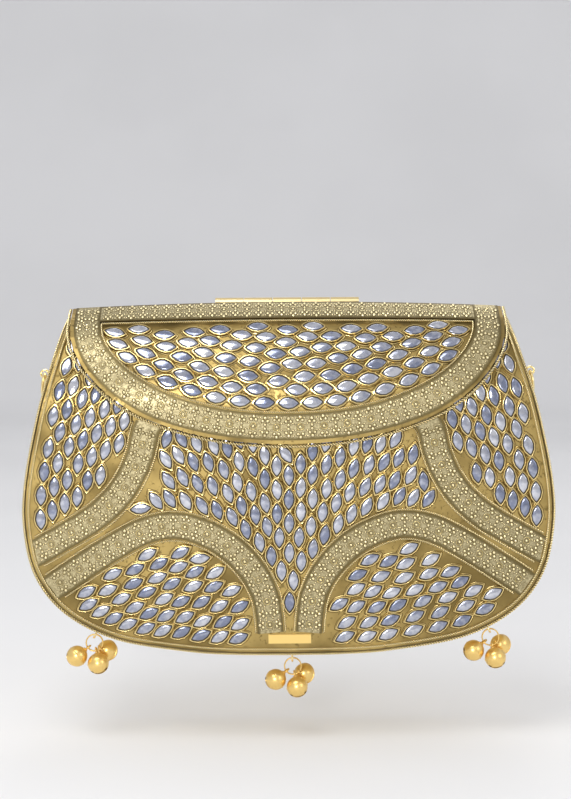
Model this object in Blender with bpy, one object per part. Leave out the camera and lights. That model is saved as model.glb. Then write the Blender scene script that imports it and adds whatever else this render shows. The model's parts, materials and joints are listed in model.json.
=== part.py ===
"""A metal clutch bag with a hinged front flap, almond stones, embossed strips, rope wire and jingle bells.

Metres, +Z up, the front faces -Y. The shapes are worked out in the bag's own frame, whose origin is the bottom
centre of the front, and the model is then placed so that its origin lies midway between the two chain rings.
"""

import functools
import math

import bmesh
import bpy
from mathutils import Matrix, Vector
from mathutils.geometry import delaunay_2d_cdt

# Overall form
BODY_HALF_WIDTH = 0.107
BODY_HEIGHT = 0.139
BOTTOM_DEPTH = 0.044
TOP_DEPTH = 0.031
SHEET = 0.0008
GAP = 0.0003

# Half outline of the front, from the bottom centre to the top corner, as shares of the half width and the height
OUTLINE_SHAPE = (
    (0.000, 0.000), (0.200, 0.002), (0.384, 0.012), (0.655, 0.049), (0.847, 0.126), (0.959, 0.237),
    (1.000, 0.381), (0.992, 0.518), (0.945, 0.698), (0.893, 0.849), (0.845, 1.000),
)
OUTLINE_STEPS = 3

# The upper front bends back towards the hinge
BEND_RADIUS = 0.044
BEND_TURN = math.radians(66.0)
TOP_BOW = 0.0024

# Flap
FLAP_SIDE_GAP = 0.0024
FLAP_DROP = 0.0633
FLAP_STRAIGHT = 0.0135
FLAP_ROUNDNESS = 2.1
FLAP_LIFT = 0.0028
FLAP_BAND_INSET = 0.0016
BAND_SEAT = 0.0004
FLAP_BAND_WIDTH = 0.0105
FLAP_LINING_INSET = 0.0135
LINING_THICKNESS = 0.0006
FLAP_ROWS = 14

# Mouth of the body, behind the flap
MOUTH_DEPTH = 0.0535
MOUTH_OVERLAP = 0.005

# Rope wire
EDGE_ROPE_RADIUS = 0.0006
INNER_ROPE_RADIUS = 0.0005
INNER_ROPE_INSET = 0.0029
STRIP_ROPE_RADIUS = 0.00045
FLAP_ROPE_RADIUS = 0.00065

# Embossed strips, as shares of the half width and the height along their centre lines
STRIP_WIDTH = 0.0105
STRIP_THICKNESS = 0.0005
STRIP_STEPS = 4
ARCH_SHAPE = (
    (0.072, 0.069), (0.078, 0.120), (0.092, 0.180), (0.133, 0.244), (0.201, 0.304),
    (0.290, 0.352), (0.411, 0.383), (0.533, 0.371), (0.664, 0.320), (0.794, 0.256), (0.960, 0.170),
)
SHOULDER_SHAPE = (
    (0.505, 0.700), (0.533, 0.660), (0.556, 0.590), (0.594, 0.522), (0.650, 0.462),
    (0.730, 0.408), (0.830, 0.360), (0.990, 0.290),
)
STUD_PITCH = 0.0047
STUD_SIZE = 0.0024
STUD_RISE = 0.0005

# Almond stones in their bezels
STONE_LENGTH = 0.0094
STONE_WIDTH = 0.0050
STONE_RISE = 0.0013
STONE_GAP = 0.0002
STONE_TURN = math.radians(4.0)
SPOT_STEP = 0.0008
FIELD_INSET = 0.0044
LOWER_TILT = math.radians(27.0)
FAN_CENTRE = -0.012
FAN_START = 0.0285

FLAP_ROW_RISE = 0.030
FLAP_ROW_FADE = 0.042

# Plate at the bottom centre
PLATE_WIDTH = 0.0172
PLATE_HEIGHT = 0.0036
PLATE_LIFT = 0.0052

# Rail behind the flap
RAIL_RISE = 0.0009

# Longest straight stretch across a sheet that bends or bows
RIB_SPAN = 0.026

# Hinge
KNUCKLE_RADIUS = 0.0016
PIN_RADIUS = 0.0006
KNUCKLE_LENGTH = 0.0116
KNUCKLE_COUNT = 5
LEAF_THICKNESS = 0.0005
LEAF_LENGTH = 0.0085
HINGE_REACH = 0.0024

# Magnetic catch
MAGNET_RADIUS = 0.0055
MAGNET_RISE = 0.0053
MAGNET_THICKNESS = 0.0008

# Chain lugs and rings
CHAIN_DROP = 0.026
CHAIN_RING_RADIUS = 0.0042
CHAIN_WIRE = 0.0006
LUG_FOOT = 0.0006
LUG_FOOT_RADIUS = 0.0019
LUG_RADIUS = 0.0016
LUG_WIRE = 0.00045
CHAIN_RING_LEAN = math.radians(6.5)

# Bell bunches
BELL_LUG_INSETS = (0.029, 0.027)
BELL_LUG_OFF_CENTRE = 0.001
BELL_LUG_DEPTH = 0.009
SPLIT_RING_RADIUS = 0.0034
SPLIT_RING_WIRE = 0.0005
BELL_RADIUS = 0.0043
BELL_WALL = 0.0005
BELL_EYE_RADIUS = 0.0013
BELL_EYE_WIRE = 0.00035
BELL_SLIT = 0.0010
PELLET_RADIUS = 0.0012
# Each bell's seat on its ring, from the lowest point, and its swing forward
BELL_SEATS = ((-60.0, 18.0), (6.0, 32.0), (42.0, -58.0))

BRASS = {"color": (0.80, 0.67, 0.40, 1.0), "metallic": 1.0, "roughness": 0.32}
PALE_BRASS = {"color": (0.83, 0.78, 0.62, 1.0), "metallic": 1.0, "roughness": 0.30}
BELL_GOLD = {"color": (0.90, 0.63, 0.22, 1.0), "metallic": 1.0, "roughness": 0.28}
STEEL = {"color": (0.62, 0.62, 0.62, 1.0), "metallic": 1.0, "roughness": 0.35}
VELVET = {"color": (0.10, 0.045, 0.03, 1.0), "metallic": 0.0, "roughness": 0.95}

BEND_START = BODY_HEIGHT - BEND_RADIUS * math.sin(BEND_TURN)
TOP_LINE = BEND_START + BEND_RADIUS * BEND_TURN
FLAP_OUTER = FLAP_LIFT + SHEET
TOP_HALF_WIDTH = BODY_HALF_WIDTH * OUTLINE_SHAPE[-1][0]
FLAP_HALF_WIDTH = TOP_HALF_WIDTH - FLAP_SIDE_GAP
MOUTH_SILL = TOP_LINE - MOUTH_DEPTH
MAGNET_HEIGHT = TOP_LINE - FLAP_DROP + MAGNET_RISE
CHAIN_HEIGHT = BODY_HEIGHT - CHAIN_DROP
BELL_LUG_PLACES = (BELL_LUG_INSETS[0] - BODY_HALF_WIDTH, BELL_LUG_OFF_CENTRE, BODY_HALF_WIDTH - BELL_LUG_INSETS[1])


def clear_scene():
    """Removes the objects that the scene starts with."""
    for item in list(bpy.data.objects):
        bpy.data.objects.remove(item, do_unlink=True)


def material(name, finish):
    """A Principled material with this colour, metallic value and roughness."""
    made = bpy.data.materials.new(name)
    made.use_nodes = True
    shader = made.node_tree.nodes["Principled BSDF"]
    shader.inputs["Base Color"].default_value = finish["color"]
    shader.inputs["Metallic"].default_value = finish["metallic"]
    shader.inputs["Roughness"].default_value = finish["roughness"]
    return made


def smooth_line(points, steps):
    """Points along a smooth curve through these points, with this many steps between each two."""
    known = [Vector(point) for point in points]
    ends = [known[0] * 2 - known[1]] + known + [known[-1] * 2 - known[-2]]
    line = []
    for index in range(1, len(ends) - 2):
        a, b, c, d = ends[index - 1:index + 3]
        for step in range(steps):
            t = step / steps
            line.append(0.5 * (
                2 * b + (c - a) * t + (2 * a - 5 * b + 4 * c - d) * t * t + (3 * b - a - 3 * c + d) * t ** 3
            ))
    return line + [known[-1]]


def offset_line(line, distance):
    """The open line moved sideways by this distance, to the left of its direction."""
    moved = []
    for index, point in enumerate(line):
        along = line[min(index + 1, len(line) - 1)] - line[max(index - 1, 0)]
        moved.append(point + Vector((-along.y, along.x)).normalized() * distance)
    return moved


def mirrored(line):
    """The line on the other side of the bag's middle."""
    return [Vector((-point.x, point.y)) for point in line]


def bent(height):
    """The distance up the front sheet at which it reaches this height."""
    if height <= BEND_START:
        return height
    return BEND_START + BEND_RADIUS * math.asin(min((height - BEND_START) / BEND_RADIUS, math.sin(BEND_TURN)))


def place(x, up, out=0.0):
    """A point of the front, this far up its sheet and this far out of its face, in the bag's frame."""
    turn = max(up - BEND_START, 0.0) / BEND_RADIUS
    radius = BEND_RADIUS + out
    y = BEND_RADIUS - radius * math.cos(turn) if turn else -out
    z = BEND_START + radius * math.sin(turn) if turn else up
    bow = TOP_BOW * (x / TOP_HALF_WIDTH) ** 2 * min(turn / BEND_TURN, 1.1) ** 2
    return Vector((x, y, z - bow))


def back_depth(height):
    """How far the back panel lies behind the front at this height."""
    return BOTTOM_DEPTH + (TOP_DEPTH - BOTTOM_DEPTH) * height / BODY_HEIGHT


@functools.cache
def half_outline(inset):
    """The right half of the front's outline, inset by this much, from the bottom centre to the top corner."""
    shape = [(u * BODY_HALF_WIDTH, v * BODY_HEIGHT) for u, v in OUTLINE_SHAPE]
    line = smooth_line(shape, OUTLINE_STEPS)
    left = [Vector((-line[1].x, line[1].y))] + line
    moved = offset_line(left, inset)[1:]
    moved[0].x = 0.0
    return [Vector((point.x, min(bent(point.y), TOP_LINE))) for point in moved]


def width_at(height_up, inset=0.0):
    """The half width of the inset front at this distance up its sheet."""
    line = half_outline(inset)
    for low, high in zip(line, line[1:]):
        if low.y <= height_up <= high.y and high.y > low.y:
            return low.x + (high.x - low.x) * (height_up - low.y) / (high.y - low.y)
    return line[-1].x if height_up > line[-1].y else line[0].x


def flap_width(up, inset=0.0):
    """The half width of the flap, inset by this much, at this distance up its sheet."""
    centre = TOP_LINE - FLAP_STRAIGHT
    half = FLAP_HALF_WIDTH - inset
    drop = FLAP_DROP - FLAP_STRAIGHT - inset
    share = min(max(centre - up, 0.0) / drop, 1.0)
    return half * (1 - share ** FLAP_ROUNDNESS) ** (1 / FLAP_ROUNDNESS)


def flap_edge(inset, top_inset, rows):
    """The right edge of the inset flap, from its lowest point up to its top."""
    centre = TOP_LINE - FLAP_STRAIGHT
    half = FLAP_HALF_WIDTH - inset
    drop = FLAP_DROP - FLAP_STRAIGHT - inset
    edge = []
    for row in range(rows + 1):
        angle = math.pi / 2 * row / rows
        x = half * math.sin(angle) ** (2 / FLAP_ROUNDNESS)
        edge.append(Vector((x, centre - drop * math.cos(angle) ** (2 / FLAP_ROUNDNESS))))
    top = TOP_LINE - top_inset
    if top > centre + SHEET:
        edge += [Vector((half, centre + (top - centre) * share)) for share in (0.33, 0.67, 1.0)]
    return edge


@functools.cache
def band_line(shape):
    """The centre line of an embossed strip on the right half of the front."""
    return smooth_line([(u * BODY_HALF_WIDTH, bent(v * BODY_HEIGHT)) for u, v in shape], STRIP_STEPS)


def distance_to(line, point):
    """The distance from a point to an open line."""
    nearest = math.inf
    for a, b in zip(line, line[1:]):
        along = b - a
        share = min(max((point - a).dot(along) / along.length_squared, 0.0), 1.0)
        nearest = min(nearest, (point - a - along * share).length)
    return nearest


def stone_rounds(stone):
    """Circles that stand for a stone's outline where its neighbours must stay clear."""
    x, up, angle = stone
    along = Vector((math.cos(angle), math.sin(angle)))
    centre = Vector((x, up))
    rounds = []
    for share in (0.0, 0.15, -0.15, 0.29, -0.29, 0.4, -0.4, 0.48, -0.48):
        half_width = STONE_WIDTH * 0.5 * (1 - (share * 2) ** 2)
        rounds.append((centre + along * STONE_LENGTH * share, half_width))
    return rounds


def clear_of(stone, others):
    """Whether a stone keeps its gap to these stones."""
    rounds = stone_rounds(stone)
    for other in others:
        apart = math.hypot(other[0] - stone[0], other[1] - stone[1])
        if apart < STONE_WIDTH * 0.7:
            return False
        if apart > STONE_LENGTH + STONE_GAP:
            continue
        for a, first in rounds:
            for b, second in stone_rounds(other):
                if (a - b).length < first + second + STONE_GAP:
                    return False
    return True


def fill(spots, allowed):
    """The stones of a field: each spot, in its order, that lies in the field and clear of those before it."""
    cells = {}
    stones = []
    for x, up, angle in spots:
        stone = (x, up, angle + STONE_TURN * math.sin(x * 2173.0 + up * 1571.0))
        column, row = math.floor(x / STONE_LENGTH), math.floor(up / STONE_LENGTH)
        near = [
            other for i in (-1, 0, 1) for j in (-1, 0, 1) for other in cells.get((column + i, row + j), ())
        ]
        if clear_of(stone, near) and all(allowed(centre, radius) for centre, radius in stone_rounds(stone)):
            stones.append(stone)
            cells.setdefault((column, row), []).append(stone)
    return stones


def outward_steps(reach):
    """Steps to both sides from the middle, up to this reach."""
    yield 0.0
    for step in range(1, int(reach / SPOT_STEP)):
        yield -step * SPOT_STEP
        yield step * SPOT_STEP


def steps(low, high):
    """Steps from low to high."""
    return [low + SPOT_STEP * step for step in range(int((high - low) / SPOT_STEP) + 1)]


def side_spots():
    """Spots of the right side field, in lanes along the edge, from the edge inwards."""
    for inset in steps(FIELD_INSET + STONE_WIDTH / 2, FIELD_INSET + STONE_WIDTH * 8):
        line = half_outline(inset)
        walked = 0.0
        for low, high in zip(line, line[1:]):
            span = (high - low).length
            while walked < span:
                spot = low + (high - low) * walked / span
                yield spot.x, spot.y, math.atan2(high.y - low.y, high.x - low.x)
                walked += SPOT_STEP
            walked -= span


def lower_spots():
    """Spots of the two lower fields, in slanting rows from the bottom up."""
    along = Vector((math.cos(LOWER_TILT), math.sin(LOWER_TILT)))
    across = Vector((-along.y, along.x))
    for v in steps(-BODY_HALF_WIDTH / 2, BODY_HEIGHT):
        for u in steps(-BODY_HALF_WIDTH, BODY_HEIGHT):
            spot = across * v + along * u
            yield spot.x, spot.y, LOWER_TILT


def fan_spots():
    """Spots of the middle field, in rings round the foot of the fan, each from its middle outwards."""
    for radius in steps(FAN_START, BODY_HEIGHT):
        for arc in outward_steps(radius * 1.4):
            turn = arc / radius
            yield radius * math.sin(turn), FAN_CENTRE + radius * math.cos(turn), math.pi / 2 - turn


def flap_spots():
    """Spots of the flap, in rows from the bottom up that bend with its edge and level out near the top."""
    bottom = TOP_LINE - FLAP_DROP + FLAP_BAND_WIDTH
    for rise in steps(0.0, FLAP_DROP):
        curve = max(1.0 - rise / FLAP_ROW_FADE, 0.0) * FLAP_ROW_RISE
        for x in outward_steps(FLAP_HALF_WIDTH):
            share = x / FLAP_HALF_WIDTH
            slope = 2.2 * curve / FLAP_HALF_WIDTH * math.copysign(abs(share) ** 1.2, x)
            yield x, bottom + rise + curve * abs(share) ** 2.2, math.atan(slope)


def under_arch(point):
    """Whether a point of the front lies under one of the arches."""
    arch = band_line(ARCH_SHAPE)
    return any(
        a.x <= abs(point.x) <= b.x and point.y < a.y + (b.y - a.y) * (abs(point.x) - a.x) / (b.x - a.x)
        for a, b in zip(arch, arch[1:])
    )


def beside_shoulder(point):
    """Whether a point of the front lies outside of a shoulder strip."""
    shoulder = band_line(SHOULDER_SHAPE)
    if point.y > shoulder[0].y:
        return abs(point.x) > shoulder[0].x
    return any(
        b.y <= point.y <= a.y and abs(point.x) > a.x + (b.x - a.x) * (a.y - point.y) / (a.y - b.y)
        for a, b in zip(shoulder, shoulder[1:])
    )


def front_clear(centre, radius):
    """Whether a circle on the front is clear of its edge, its mouth, the catch and the strips."""
    point = Vector((abs(centre.x), centre.y))
    if point.x > width_at(point.y, FIELD_INSET) - radius or distance_to(half_outline(FIELD_INSET), point) < radius:
        return False
    if point.y > MOUTH_SILL - SHEET - radius and point.x < flap_width(point.y, MOUTH_OVERLAP) + radius + SHEET:
        return False
    if (point - Vector((0.0, MAGNET_HEIGHT))).length < MAGNET_RADIUS + radius + GAP:
        return False
    reach = STRIP_WIDTH / 2 + STRIP_ROPE_RADIUS * 2 + GAP + radius
    return min(distance_to(band_line(shape), point) for shape in (ARCH_SHAPE, SHOULDER_SHAPE)) > reach


def flap_clear(centre, radius):
    """Whether a circle on the flap is clear of its band."""
    inset = FLAP_BAND_INSET + FLAP_BAND_WIDTH + STRIP_ROPE_RADIUS * 2 + GAP
    if centre.y > TOP_LINE - inset - radius:
        return False
    return all(
        abs(centre.x) + radius * math.cos(turn) < flap_width(centre.y + radius * math.sin(turn), inset)
        for turn in (-1.5, -1.0, -0.5, 0.0, 0.5)
    )


@functools.cache
def front_fields():
    """The stones of the body's front: two sides, two lower fields and the middle."""
    right = fill(side_spots(), lambda c, r: c.x > 0 and beside_shoulder(c) and front_clear(c, r))
    left = [(-x, up, math.pi - angle) for x, up, angle in right]
    lower = fill(lower_spots(), lambda c, r: under_arch(c) and front_clear(c, r))
    middle = fill(fan_spots(), lambda c, r: not under_arch(c) and not beside_shoulder(c) and front_clear(c, r))
    return right + left + lower + middle


@functools.cache
def flap_field():
    """The stones of the flap."""
    return fill(flap_spots(), flap_clear)


def stone_boss(stone):
    """A stone's outline and the two ends of its ridge, as points of the sheet."""
    x, up, angle = stone
    turn = Matrix.Rotation(angle, 2)
    half, side, reach = STONE_LENGTH / 2, STONE_WIDTH * 0.42, STONE_LENGTH * 0.2
    base = [(half, 0), (reach, side), (-reach, side), (-half, 0), (-reach, -side), (reach, -side)]
    ridge = [(STONE_LENGTH * 0.2, 0), (-STONE_LENGTH * 0.2, 0)]
    centre = Vector((x, up))
    return [centre + turn @ Vector(point) for point in base], [centre + turn @ Vector(point) for point in ridge]


def stud_boss(spot):
    """A stud's square outline and its top."""
    half = STUD_SIZE / 2
    base = [(half, 0), (0, half), (-half, 0), (0, -half)]
    return [spot + Vector(point) for point in base], [spot.copy()]


def roof(mesh, base, ridge):
    """Closes a boss over its outline: two slopes and two ends on a ridge, or sides that meet in a point."""
    if len(ridge) == 1:
        for a, b in zip(base, base[1:] + base[:1]):
            mesh.faces.new((a, b, ridge[0]))
        return
    tip_a, upper_a, upper_b, tip_b, lower_b, lower_a = base
    near, far = ridge
    for corners in (
        (tip_a, upper_a, near), (lower_a, tip_a, near), (upper_b, tip_b, far), (tip_b, lower_b, far),
        (upper_a, upper_b, far, near), (lower_b, lower_a, near, far),
    ):
        mesh.faces.new(corners)


def inside(loop, point):
    """Whether a point lies inside a closed loop."""
    crossings = 0
    for a, b in zip(loop, loop[1:] + loop[:1]):
        if (a.y > point.y) != (b.y > point.y):
            if point.x < a.x + (b.x - a.x) * (point.y - a.y) / (b.y - a.y):
                crossings += 1
    return crossings % 2 == 1


def sheet(outer, low, high, where=place, hole=(), bosses=(), rise=0.0, ribs=()):
    """A formed sheet between two distances out of a face, with raised bosses on its outer side.

    outer and hole are loops of points on the sheet, and ribs are pairs of places in outer that the inner side
    joins straight across, so that it follows the bend.
    """
    mesh = bmesh.new()
    rims = {}
    loops = [list(outer)] + ([list(hole)] if hole else [])
    for side, level in (("in", low), ("out", high)):
        points = [point for loop in loops for point in loop]
        edges, groups, start = [], [], 0
        for loop in loops:
            count = len(loop)
            edges += [(start + index, start + (index + 1) % count) for index in range(count)]
            start += count
        for a, b in ribs:
            spans = max(round((points[b] - points[a]).length / RIB_SPAN), 1)
            between = [points[a].lerp(points[b], step / spans) for step in range(1, spans)]
            if side == "in":
                chain = [a] + list(range(len(points), len(points) + len(between))) + [b]
                edges += list(zip(chain, chain[1:]))
                points += between
            else:
                points += [
                    point for point in between
                    if all((point - (base[0] + base[len(base) // 2]) / 2).length > STONE_LENGTH / 2 for base, _top in bosses)
                ]
        if side == "out":
            for base, _ridge in bosses:
                groups.append(range(len(points), len(points) + len(base)))
                edges += [(groups[-1][i], groups[-1][(i + 1) % len(base)]) for i in range(len(base))]
                points += base
        placed, _edges, faces, sources, _se, _sf = delaunay_2d_cdt(points, edges, [], 1, 1e-7, True)
        new = {}
        for index, point in enumerate(placed):
            for source in sources[index]:
                new[source] = index
        verts = [mesh.verts.new(where(point.x, point.y, level)) for point in placed]
        owner = {new[member]: number for number, group in enumerate(groups) for member in group}
        hole_ids = {new[len(loops[0]) + index] for index in range(len(hole))}
        used = set()
        for face in faces:
            owners = {owner.get(index, -1) for index in face}
            under_boss = len(owners) == 1 and -1 not in owners
            in_hole = all(index in hole_ids for index in face)
            middle = sum((placed[index] for index in face), Vector((0.0, 0.0))) / len(face)
            if under_boss or in_hole or not inside(loops[0], middle):
                continue
            mesh.faces.new([verts[index] for index in face])
            used.update(face)
        if side == "out":
            for (base, ridge), group in zip(bosses, groups):
                tops = [mesh.verts.new(where(point.x, point.y, level + rise)) for point in ridge]
                roof(mesh, [verts[new[member]] for member in group], tops)
        rims[side] = [verts[new[index]] for index in range(sum(len(loop) for loop in loops))]
    start = 0
    for loop in loops:
        count = len(loop)
        for index in range(count):
            a, b = start + index, start + (index + 1) % count
            mesh.faces.new((rims["in"][a], rims["in"][b], rims["out"][b], rims["out"][a]))
        start += count
    bmesh.ops.delete(mesh, geom=[vert for vert in mesh.verts if not vert.link_faces], context="VERTS")
    return facing_out(mesh)


def facing_out(mesh):
    """The closed mesh with its faces pointing out."""
    bmesh.ops.recalc_face_normals(mesh, faces=mesh.faces)
    if mesh.calc_volume(signed=True) < 0:
        bmesh.ops.reverse_faces(mesh, faces=mesh.faces)
    return mesh


def ring_mesh(major, minor, segments, sides):
    """A wire ring round the X axis."""
    mesh = bmesh.new()
    rows = []
    for step in range(segments):
        turn = math.tau * step / segments
        row = []
        for side in range(sides):
            angle = math.tau * (side + 0.5) / sides
            reach = major + minor * math.cos(angle)
            spot = (minor * math.sin(angle), reach * math.sin(turn), reach * math.cos(turn))
            row.append(mesh.verts.new(spot))
        rows.append(row)
    for index, row in enumerate(rows):
        following = rows[(index + 1) % segments]
        for side in range(sides):
            beside = (side + 1) % sides
            mesh.faces.new((row[side], row[beside], following[beside], following[side]))
    return facing_out(mesh)


def loft(rings):
    """A closed solid through rings of points, with flat ends."""
    mesh = bmesh.new()
    rows = [[mesh.verts.new(point) for point in ring] for ring in rings]
    for row, following in zip(rows, rows[1:]):
        for index in range(len(row)):
            beside = (index + 1) % len(row)
            mesh.faces.new((row[index], row[beside], following[beside], following[index]))
    mesh.faces.new(rows[0])
    mesh.faces.new(rows[-1])
    return facing_out(mesh)


def tube(start, end, radius, sides):
    """A round bar between two points."""
    axis = (end - start).normalized()
    across = axis.orthogonal().normalized()
    other = axis.cross(across)
    ends = []
    for centre in (start, end):
        ends.append([
            centre + (across * math.cos(math.tau * i / sides) + other * math.sin(math.tau * i / sides)) * radius
            for i in range(sides)
        ])
    return loft(ends)


def box(low, high):
    """A block between two corners."""
    corners = [(low[0], low[1]), (high[0], low[1]), (high[0], high[1]), (low[0], high[1])]
    return loft([[Vector((x, y, z)) for x, y in corners] for z in (low[2], high[2])])


def as_object(name, mesh, finish=None):
    """An object from a bmesh, with flat places kept sharp and round ones smooth."""
    data = bpy.data.meshes.new(name)
    mesh.to_mesh(data)
    mesh.free()
    data.shade_smooth()
    data.set_sharp_from_angle(angle=math.radians(35.0))
    made = bpy.data.objects.new(name, data)
    bpy.context.scene.collection.objects.link(made)
    if finish:
        data.materials.append(finish)
    return made


def combined(base, others, operation):
    """A mesh made by joining solids to a base, or cutting them out of it."""
    target = as_object("work", base)
    tools = [as_object("tool", mesh) for mesh in others]
    for item in tools:
        modifier = target.modifiers.new("cut", "BOOLEAN")
        modifier.object = item
        modifier.operation = operation
        modifier.solver = "EXACT"
    evaluated = target.evaluated_get(bpy.context.evaluated_depsgraph_get())
    result = bmesh.new()
    result.from_mesh(bpy.data.meshes.new_from_object(evaluated))
    for item in [target] + tools:
        bpy.data.objects.remove(item, do_unlink=True)
    bmesh.ops.remove_doubles(result, verts=result.verts, dist=1e-6)
    bmesh.ops.dissolve_degenerate(result, edges=result.edges, dist=1e-6)
    return result


def lug_mesh():
    """A lug that stands on +Z: a round foot and a wire loop round the X axis."""
    foot = tube(Vector((0, 0, 0)), Vector((0, 0, LUG_FOOT)), LUG_FOOT_RADIUS, 8)
    loop = ring_mesh(LUG_RADIUS, LUG_WIRE, 10, 4)
    loop.transform(Matrix.Translation((0, 0, LUG_FOOT + LUG_RADIUS)))
    return combined(foot, [loop], "UNION")


def bell_mesh():
    """A round bell that hangs from the origin: a slit shell with its eye on top."""
    centre = Matrix.Translation((0, 0, -bell_drop()))
    shell = bmesh.new()
    bmesh.ops.create_uvsphere(shell, u_segments=10, v_segments=6, radius=BELL_RADIUS, matrix=centre)
    inside = bmesh.new()
    bmesh.ops.create_uvsphere(inside, u_segments=10, v_segments=6, radius=BELL_RADIUS - BELL_WALL, matrix=centre)
    eye = ring_mesh(BELL_EYE_RADIUS, BELL_EYE_WIRE, 7, 4)
    joined = combined(shell, [eye], "UNION")
    low = -bell_drop() - BELL_RADIUS
    slit = box((-BELL_RADIUS * 0.8, -BELL_SLIT / 2, low - BELL_WALL), (BELL_RADIUS * 0.8, BELL_SLIT / 2, low + BELL_RADIUS * 0.5))
    return combined(joined, [inside, slit], "DIFFERENCE")


def bell_drop():
    """The distance from a bell's eye to its centre."""
    return BELL_RADIUS + BELL_EYE_RADIUS + BELL_EYE_WIRE - BELL_WALL * 0.7


class Bag:
    """Puts finished pieces into the scene, with the frame's origin between the chain rings."""

    def __init__(self, origin):
        self.origin = origin
        self.pivots = {}
        self.finishes = {}

    def finish(self, name, values):
        """One material for each finish."""
        if name not in self.finishes:
            self.finishes[name] = material(name, values)
        return self.finishes[name]

    def pivot(self, name, spot, parent=None):
        """An empty on a joint's axis, which its body's pieces hang under."""
        empty = bpy.data.objects.new(name, None)
        bpy.context.scene.collection.objects.link(empty)
        empty.location = spot - (self.pivots[parent][1] if parent else self.origin)
        if parent:
            empty.parent = self.pivots[parent][0]
        self.pivots[name] = (empty, spot)
        return empty

    def add(self, name, mesh, finish, pivot=None):
        """A piece whose mesh is in the bag's frame, under its pivot or in the bag's body."""
        spot = self.pivots[pivot][1] if pivot else self.origin
        mesh.transform(Matrix.Translation(-spot))
        made = as_object(name, mesh, finish)
        if pivot:
            made.parent = self.pivots[pivot][0]
        return made

    def rope(self, name, points, radius, finish, pivot=None, closed=False):
        """A twisted wire, as a plain bar along its route."""
        spot = self.pivots[pivot][1] if pivot else self.origin
        data = bpy.data.curves.new(name, "CURVE")
        data.dimensions = "3D"
        data.twist_mode = "MINIMUM"
        data.bevel_depth = radius
        data.bevel_resolution = 0
        data.use_fill_caps = not closed
        line = data.splines.new("POLY")
        line.points.add(len(points) - 1)
        for point, route in zip(line.points, points):
            point.co = (*(route - spot), 1.0)
        line.use_cyclic_u = closed
        data.materials.append(finish)
        made = bpy.data.objects.new(name, data)
        bpy.context.scene.collection.objects.link(made)
        if pivot:
            made.parent = self.pivots[pivot][0]
        return made


def side_normal(up):
    """The side's surface at this height: its half width and its outward direction in the XZ plane."""
    step = STONE_WIDTH
    low, high = width_at(up - step), width_at(up + step)
    rise = place(high, up + step).z - place(low, up - step).z
    return width_at(up), Vector((rise, 0.0, low - high)).normalized()


def bottom_normal(x):
    """The bottom's surface at this place: its height and its outward direction in the XZ plane."""
    line = half_outline(0.0)
    for a, b in zip(line, line[1:]):
        if a.x <= abs(x) <= b.x:
            height = a.y + (b.y - a.y) * (abs(x) - a.x) / (b.x - a.x)
            along = b - a
            return height, Vector((math.copysign(along.y, x), 0.0, -along.x)).normalized()
    return 0.0, Vector((0.0, 0.0, -1.0))


def make_front(bag, brass, pale):
    """The front panel with its stones, the ropes round it and the plate at its bottom."""
    inset = EDGE_ROPE_RADIUS * 2 + GAP
    outline = half_outline(inset)
    rising = [point for point in outline if point.y > MOUTH_SILL + SHEET]
    mouth = [Vector((flap_width(point.y, MOUTH_OVERLAP), point.y)) for point in rising]
    sill = Vector((flap_width(MOUTH_SILL, MOUTH_OVERLAP), MOUTH_SILL))
    right = outline + mouth[::-1] + [sill]
    loop = right + mirrored(right[1:])[::-1]
    total = len(loop)
    first = len(outline) - len(rising)
    ribs = []
    for index in range(len(rising)):
        near, far = first + index, len(outline) + len(rising) - 1 - index
        ribs += [(near, far), ((total - near) % total, (total - far) % total)]
    bosses = [stone_boss(stone) for stone in front_fields()]
    bag.add("front_panel", sheet(loop, -SHEET, 0.0, bosses=bosses, rise=STONE_RISE, ribs=ribs), brass)

    edge = half_outline(EDGE_ROPE_RADIUS)
    route = mirrored(edge[1:])[::-1] + edge
    middle = -SHEET / 2
    bag.rope("front_edge_rope", [place(p.x, p.y, middle) for p in route], EDGE_ROPE_RADIUS, brass)
    inner = half_outline(INNER_ROPE_INSET)
    route = mirrored(inner[1:])[::-1] + inner
    level = GAP + INNER_ROPE_RADIUS
    bag.rope("front_inner_rope", [place(p.x, p.y, level) for p in route], INNER_ROPE_RADIUS, brass)
    corners = [
        Vector((x, z)) for x, z in (
            (-PLATE_WIDTH / 2, PLATE_LIFT), (PLATE_WIDTH / 2, PLATE_LIFT),
            (PLATE_WIDTH / 2, PLATE_LIFT + PLATE_HEIGHT), (-PLATE_WIDTH / 2, PLATE_LIFT + PLATE_HEIGHT),
        )
    ]
    bag.add("bottom_plate", sheet(corners, GAP, GAP + STRIP_THICKNESS), pale)


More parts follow.
